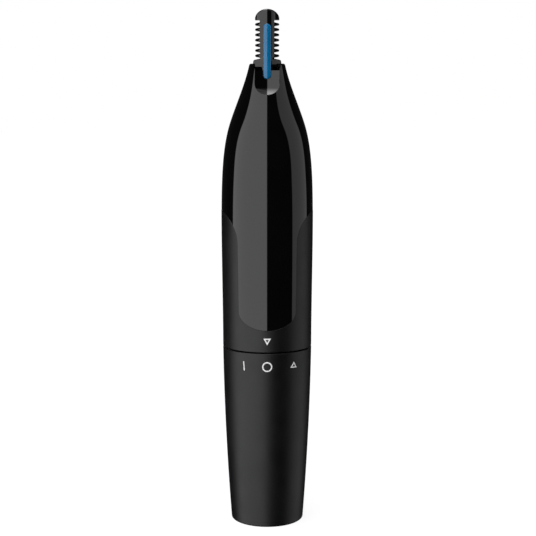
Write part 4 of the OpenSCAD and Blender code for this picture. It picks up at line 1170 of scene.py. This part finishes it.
def inner_looks():
    """Materials of the inner pieces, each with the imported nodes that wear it."""
    return [
        (finish("chassis_plastic", (0.035, 0.036, 0.04), (0.05, 0.051, 0.055), 0.38, 0.1,
                grain=(2500.0, 0.000006)), ["battery_holder", "motor_carrier", "switch_ring"]),
        (finish("drive_plastic", (0.62, 0.61, 0.57), (0.7, 0.69, 0.65), 0.35, 0.12,
                grain=(1800.0, 0.000004)), ["motor_end_cap", "drive_coupling"]),
        (finish("seal_rubber", (0.012, 0.012, 0.012), (0.02, 0.02, 0.02), 0.55, 0.15,
                grain=(3500.0, 0.000006)), ["chassis_seal", "cap_seal", "shaft_seal"]),
        (finish("magnet_ferrite", (0.03, 0.03, 0.032), (0.05, 0.05, 0.052), 0.55, 0.15,
                grain=(2600.0, 0.000012)), ["motor_magnets"]),
        (metal("contact_brass", (0.72, 0.5, 0.19), (0.62, 0.4, 0.14), 0.24, 0.14, tone_scale=200.0,
               grain=(1500.0, 0.000002)),
         ["positive_contact", "negative_contact", "cap_contact", "motor_brushes"]),
        (metal("bush_bronze", (0.48, 0.27, 0.11), (0.4, 0.22, 0.09), 0.38, 0.14, tone_scale=600.0,
               turning=(300.0, 0.000002)), ["motor_bushes", "spindle_bushes"]),
        (metal("coil_copper", (0.6, 0.2, 0.06), (0.45, 0.13, 0.04), 0.3, 0.14, tone_scale=500.0,
               turning=(220.0, 0.00001)), ["armature_windings", "commutator"]),
        (metal("turned_steel", (0.56, 0.56, 0.57), (0.47, 0.47, 0.49), 0.2, 0.12, tone_scale=300.0,
               turning=(260.0, 0.0000015)),
         ["chassis_screws", "motor_screws", "motor_shaft", "cutter_spindle", "cutter_blades"]),
        (metal("drawn_steel", (0.5, 0.5, 0.51), (0.42, 0.42, 0.44), 0.26, 0.14, tone_scale=120.0,
               turning=(160.0, 0.000002)), ["motor_can"]),
        (metal("core_iron", (0.22, 0.21, 0.21), (0.16, 0.15, 0.15), 0.42, 0.15, tone_scale=300.0,
               turning=(90.0, 0.000012)), ["armature_core"]),
    ]


def make_camera(stage):
    """Camera in front of the trimmer, a little to the right of its axis, looking down by the pitch."""
    aside = 0.00023  # metres
    data = bpy.data.cameras.new("studio_camera")
    data.lens = stage.lens
    data.sensor_width = 36.0
    data.clip_start = 0.01
    camera = bpy.data.objects.new("studio_camera", data)
    camera.location = (aside, -stage.distance, stage.height)
    camera.rotation_euler = (QUARTER - stage.pitch, 0, 0)
    bpy.context.scene.collection.objects.link(camera)
    bpy.context.scene.camera = camera


def make_world(stage):
    """Light painted by direction: azimuth az = atan2(x, -y) and elevation el = asin(z), in degrees."""
    world = bpy.data.worlds.new("studio_light")
    bpy.context.scene.world = world
    world.use_nodes = True
    tree = world.node_tree
    tree.nodes.clear()
    direction = tree.nodes.new("ShaderNodeTexCoord").outputs["Generated"]
    split = tree.nodes.new("ShaderNodeSeparateXYZ")
    tree.links.new(direction, split.inputs[0])
    x, y, z = split.outputs

    def op(name, *values):
        """Output of one Math node in the world."""
        return math_node(tree, name, *values)

    az = op("DEGREES", op("ARCTAN2", x, op("MULTIPLY", y, -1.0)))
    el = op("DEGREES", op("ARCSINE", op("MINIMUM", op("MAXIMUM", z, -1.0), 1.0)))
    up, down = op("MAXIMUM", el, 0.0), op("MINIMUM", el, 0.0)

    def above(value, edge, width):
        """1 where value is past edge, over a soft edge of the given width."""
        return ramp_node(tree, op("SUBTRACT", value, edge), -width, width)

    def side(level, bend, lean):
        """Azimuth of a softbox's side: level + bend el^2 above the horizon, level + lean el below it."""
        bent = op("MULTIPLY", op("MULTIPLY", up, up), bend)
        return op("ADD", op("ADD", bent, op("MULTIPLY", down, lean)), level)

    def mix(low, high, share):
        """low where share is 0, high where it is 1."""
        return op("ADD", op("MULTIPLY", op("SUBTRACT", 1.0, share), low), op("MULTIPLY", share, high))

    def window(first, second, level):
        """A softbox between two azimuths, down to 35 degrees below the horizon."""
        across = op("MULTIPLY", above(az, first, 1.0), op("SUBTRACT", 1.0, above(az, second, 1.0)))
        return op("MULTIPLY", op("MULTIPLY", across, above(el, -35.0, 3.0)), level)

    left = window(side(level=-93.5, bend=0.0135, lean=0.3), -0.6, stage.left_light)
    right = window(side(level=65.0, bend=-0.0145, lean=-0.2), side(level=115.0, bend=-0.02, lean=-0.4),
                   stage.right_light)
    ceiling = mix(stage.top_left, stage.top_right, above(x, 0.0, 0.01))
    boxes = mix(op("ADD", left, right), ceiling, ramp_node(tree, el, 42.0, 84.0))
    light = op("ADD", boxes, stage.fill_light)
    # The white backdrop is seen directly, and mirrored only from low behind the trimmer
    behind = op("MULTIPLY", ramp_node(tree, op("ABSOLUTE", az), 164.0, 174.0),
                op("SUBTRACT", 1.0, ramp_node(tree, el, -4.0, 6.0)))
    path = tree.nodes.new("ShaderNodeLightPath").outputs
    white = op("MAXIMUM", op("MAXIMUM", path["Is Camera Ray"], path["Is Transmission Ray"]),
               op("MULTIPLY", path["Is Glossy Ray"], behind))
    level = op("ADD", op("MULTIPLY", light, op("SUBTRACT", 1.0, white)), white)
    background = tree.nodes.new("ShaderNodeBackground")
    tree.links.new(level, background.inputs["Color"])
    output = tree.nodes.new("ShaderNodeOutputWorld")
    tree.links.new(background.outputs[0], output.inputs["Surface"])


def make_lamp(name, place, target, size, power):
    """Soft rectangular lamp, unseen by the camera, from a place towards a target (metres)."""
    data = bpy.data.lights.new(name, "AREA")
    data.shape = "RECTANGLE"
    data.size, data.size_y = size
    data.energy = power
    lamp = bpy.data.objects.new(name, data)
    lamp.location = place
    lamp.rotation_euler = (Vector(target) - Vector(place)).to_track_quat("-Z", "Y").to_euler()
    lamp.visible_camera = False
    bpy.context.scene.collection.objects.link(lamp)
    return lamp


def fade_lamp(lamp, full, dark):
    """Lets a lamp's brightness fall from its full level at one height to none at another (metres)."""
    lamp.data.use_nodes = True
    tree = lamp.data.node_tree
    place = tree.nodes.new("ShaderNodeNewGeometry")
    split = tree.nodes.new("ShaderNodeSeparateXYZ")
    tree.links.new(place.outputs["Position"], split.inputs["Vector"])
    level = ramp_node(tree, split.outputs["Z"], full, dark, 1.0, 0.0)
    tree.links.new(level, tree.nodes["Emission"].inputs["Strength"])


def make_floor():
    """Pale floor that keeps the trimmer's shadow; seen directly it is lifted to the backdrop's white."""
    material = bpy.data.materials.new("studio_floor")
    material.use_nodes = True
    tree = material.node_tree
    inputs = tree.nodes["Principled BSDF"].inputs
    inputs["Roughness"].default_value = 0.9
    inputs["Specular IOR Level"].default_value = 0.0
    inputs["Emission Color"].default_value = (1, 1, 1, 1)
    tone = use_group(tree, "tone", First=(0.12, 0.12, 0.12, 1), Second=(0.13, 0.13, 0.13, 1), Scale=6.0)
    tree.links.new(tone, inputs["Base Color"])
    path = tree.nodes.new("ShaderNodeLightPath").outputs
    tree.links.new(math_node(tree, "MULTIPLY", path["Is Camera Ray"], 0.9), inputs["Emission Strength"])
    half = 3.0  # metres
    corners = [(-half, -half, 0), (half, -half, 0), (half, half, 0), (-half, half, 0)]
    mesh = bpy.data.meshes.new("studio_floor")
    mesh.from_pydata(corners, [], [(0, 1, 2, 3)])
    mesh.materials.append(material)
    floor = bpy.data.objects.new("studio_floor", mesh)
    floor.visible_glossy = False
    bpy.context.scene.collection.objects.link(floor)


class TrimmerOperator:
    """What the trimmer's operators share."""
    bl_options = {"REGISTER", "UNDO"}


class TRIMMER_OT_shells(TrimmerOperator, bpy.types.Operator):
    """Makes the gloss shell, the matte skin and the cap"""
    bl_idname = "trimmer.shells"
    bl_label = "Shells"

    def execute(self, context):
        shape = context.scene.trimmer_shape
        make_body_shell(shape)
        make_grip_skin(shape)
        make_cap_shell(shape)
        return {"FINISHED"}


class TRIMMER_OT_guard(TrimmerOperator, bpy.types.Operator):
    """Makes the guard comb and its blue strip"""
    bl_idname = "trimmer.guard"
    bl_label = "Guard"

    def execute(self, context):
        make_guard(context.scene.trimmer_shape)
        make_strip()
        return {"FINISHED"}


class TRIMMER_OT_marks(TrimmerOperator, bpy.types.Operator):
    """Prints the pointer and the cap's three marks"""
    bl_idname = "trimmer.marks"
    bl_label = "Marks"

    def execute(self, context):
        make_marks(context.scene.trimmer_shape)
        return {"FINISHED"}


class TRIMMER_OT_battery(TrimmerOperator, bpy.types.Operator):
    """Makes the cell and the spring under it"""
    bl_idname = "trimmer.battery"
    bl_label = "Battery"

    def execute(self, context):
        make_cell()
        make_spring()
        return {"FINISHED"}


class TRIMMER_OT_inside(TrimmerOperator, bpy.types.Operator):
    """Gives the inner pieces their materials"""
    bl_idname = "trimmer.inside"
    bl_label = "Inside"

    def execute(self, context):
        for material, names in inner_looks():
            for name in names:
                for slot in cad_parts[name].material_slots:
                    slot.material = material
        return {"FINISHED"}


class TRIMMER_OT_stage(TrimmerOperator, bpy.types.Operator):
    """Sets up camera, light and floor"""
    bl_idname = "trimmer.stage"
    bl_label = "Studio"

    def execute(self, context):
        context.scene.view_settings.view_transform = "Standard"
        stage = context.scene.trimmer_stage
        make_camera(stage)
        make_world(stage)
        front = make_lamp("front_lamp", place=(0, -0.9, 0.3), target=(0, 0, 0.09), size=(0.5, 0.5),
                          power=stage.front_light)
        front.visible_glossy = False
        back = make_lamp("back_lamp", place=(0, 0.1, 0.062), target=(0, 0, 0.062), size=(0.026, 0.12),
                         power=stage.back_light)
        fade_lamp(back, full=0.02, dark=0.122)
        make_floor()
        return {"FINISHED"}


class TRIMMER_PT_panel(bpy.types.Panel):
    """Sizes, finishes and studio of the trimmer"""
    bl_idname = "TRIMMER_PT_panel"
    bl_label = "Nose hair trimmer"
    bl_space_type = "VIEW_3D"
    bl_region_type = "UI"
    bl_category = "Trimmer"

    def draw(self, context):
        for group in (context.scene.trimmer_shape, context.scene.trimmer_finish, context.scene.trimmer_stage):
            box = self.layout.box()
            for name in group.__annotations__:
                box.prop(group, name)
        for operator in OPERATORS:
            self.layout.operator(operator.bl_idname)


GROUPS = (TrimmerShape, TrimmerFinish, TrimmerStage)
OPERATORS = (TRIMMER_OT_shells, TRIMMER_OT_guard, TRIMMER_OT_marks, TRIMMER_OT_battery, TRIMMER_OT_inside,
             TRIMMER_OT_stage)


def register():
    """Registers the classes and puts the settings on the scene."""
    for kind in (*GROUPS, *OPERATORS, TRIMMER_PT_panel):
        bpy.utils.register_class(kind)
    bpy.types.Scene.trimmer_shape = bpy.props.PointerProperty(type=TrimmerShape)
    bpy.types.Scene.trimmer_finish = bpy.props.PointerProperty(type=TrimmerFinish)
    bpy.types.Scene.trimmer_stage = bpy.props.PointerProperty(type=TrimmerStage)


def unregister():
    """Takes the settings off the scene and the classes out again."""
    del bpy.types.Scene.trimmer_shape
    del bpy.types.Scene.trimmer_finish
    del bpy.types.Scene.trimmer_stage
    for kind in reversed((*GROUPS, *OPERATORS, TRIMMER_PT_panel)):
        bpy.utils.unregister_class(kind)


def main():
    """Makes the trimmer and the studio."""
    register()
    bpy.ops.trimmer.shells()
    bpy.ops.trimmer.guard()
    bpy.ops.trimmer.marks()
    bpy.ops.trimmer.battery()
    bpy.ops.trimmer.inside()
    bpy.ops.trimmer.stage()


if __name__ == "__main__":
    main()
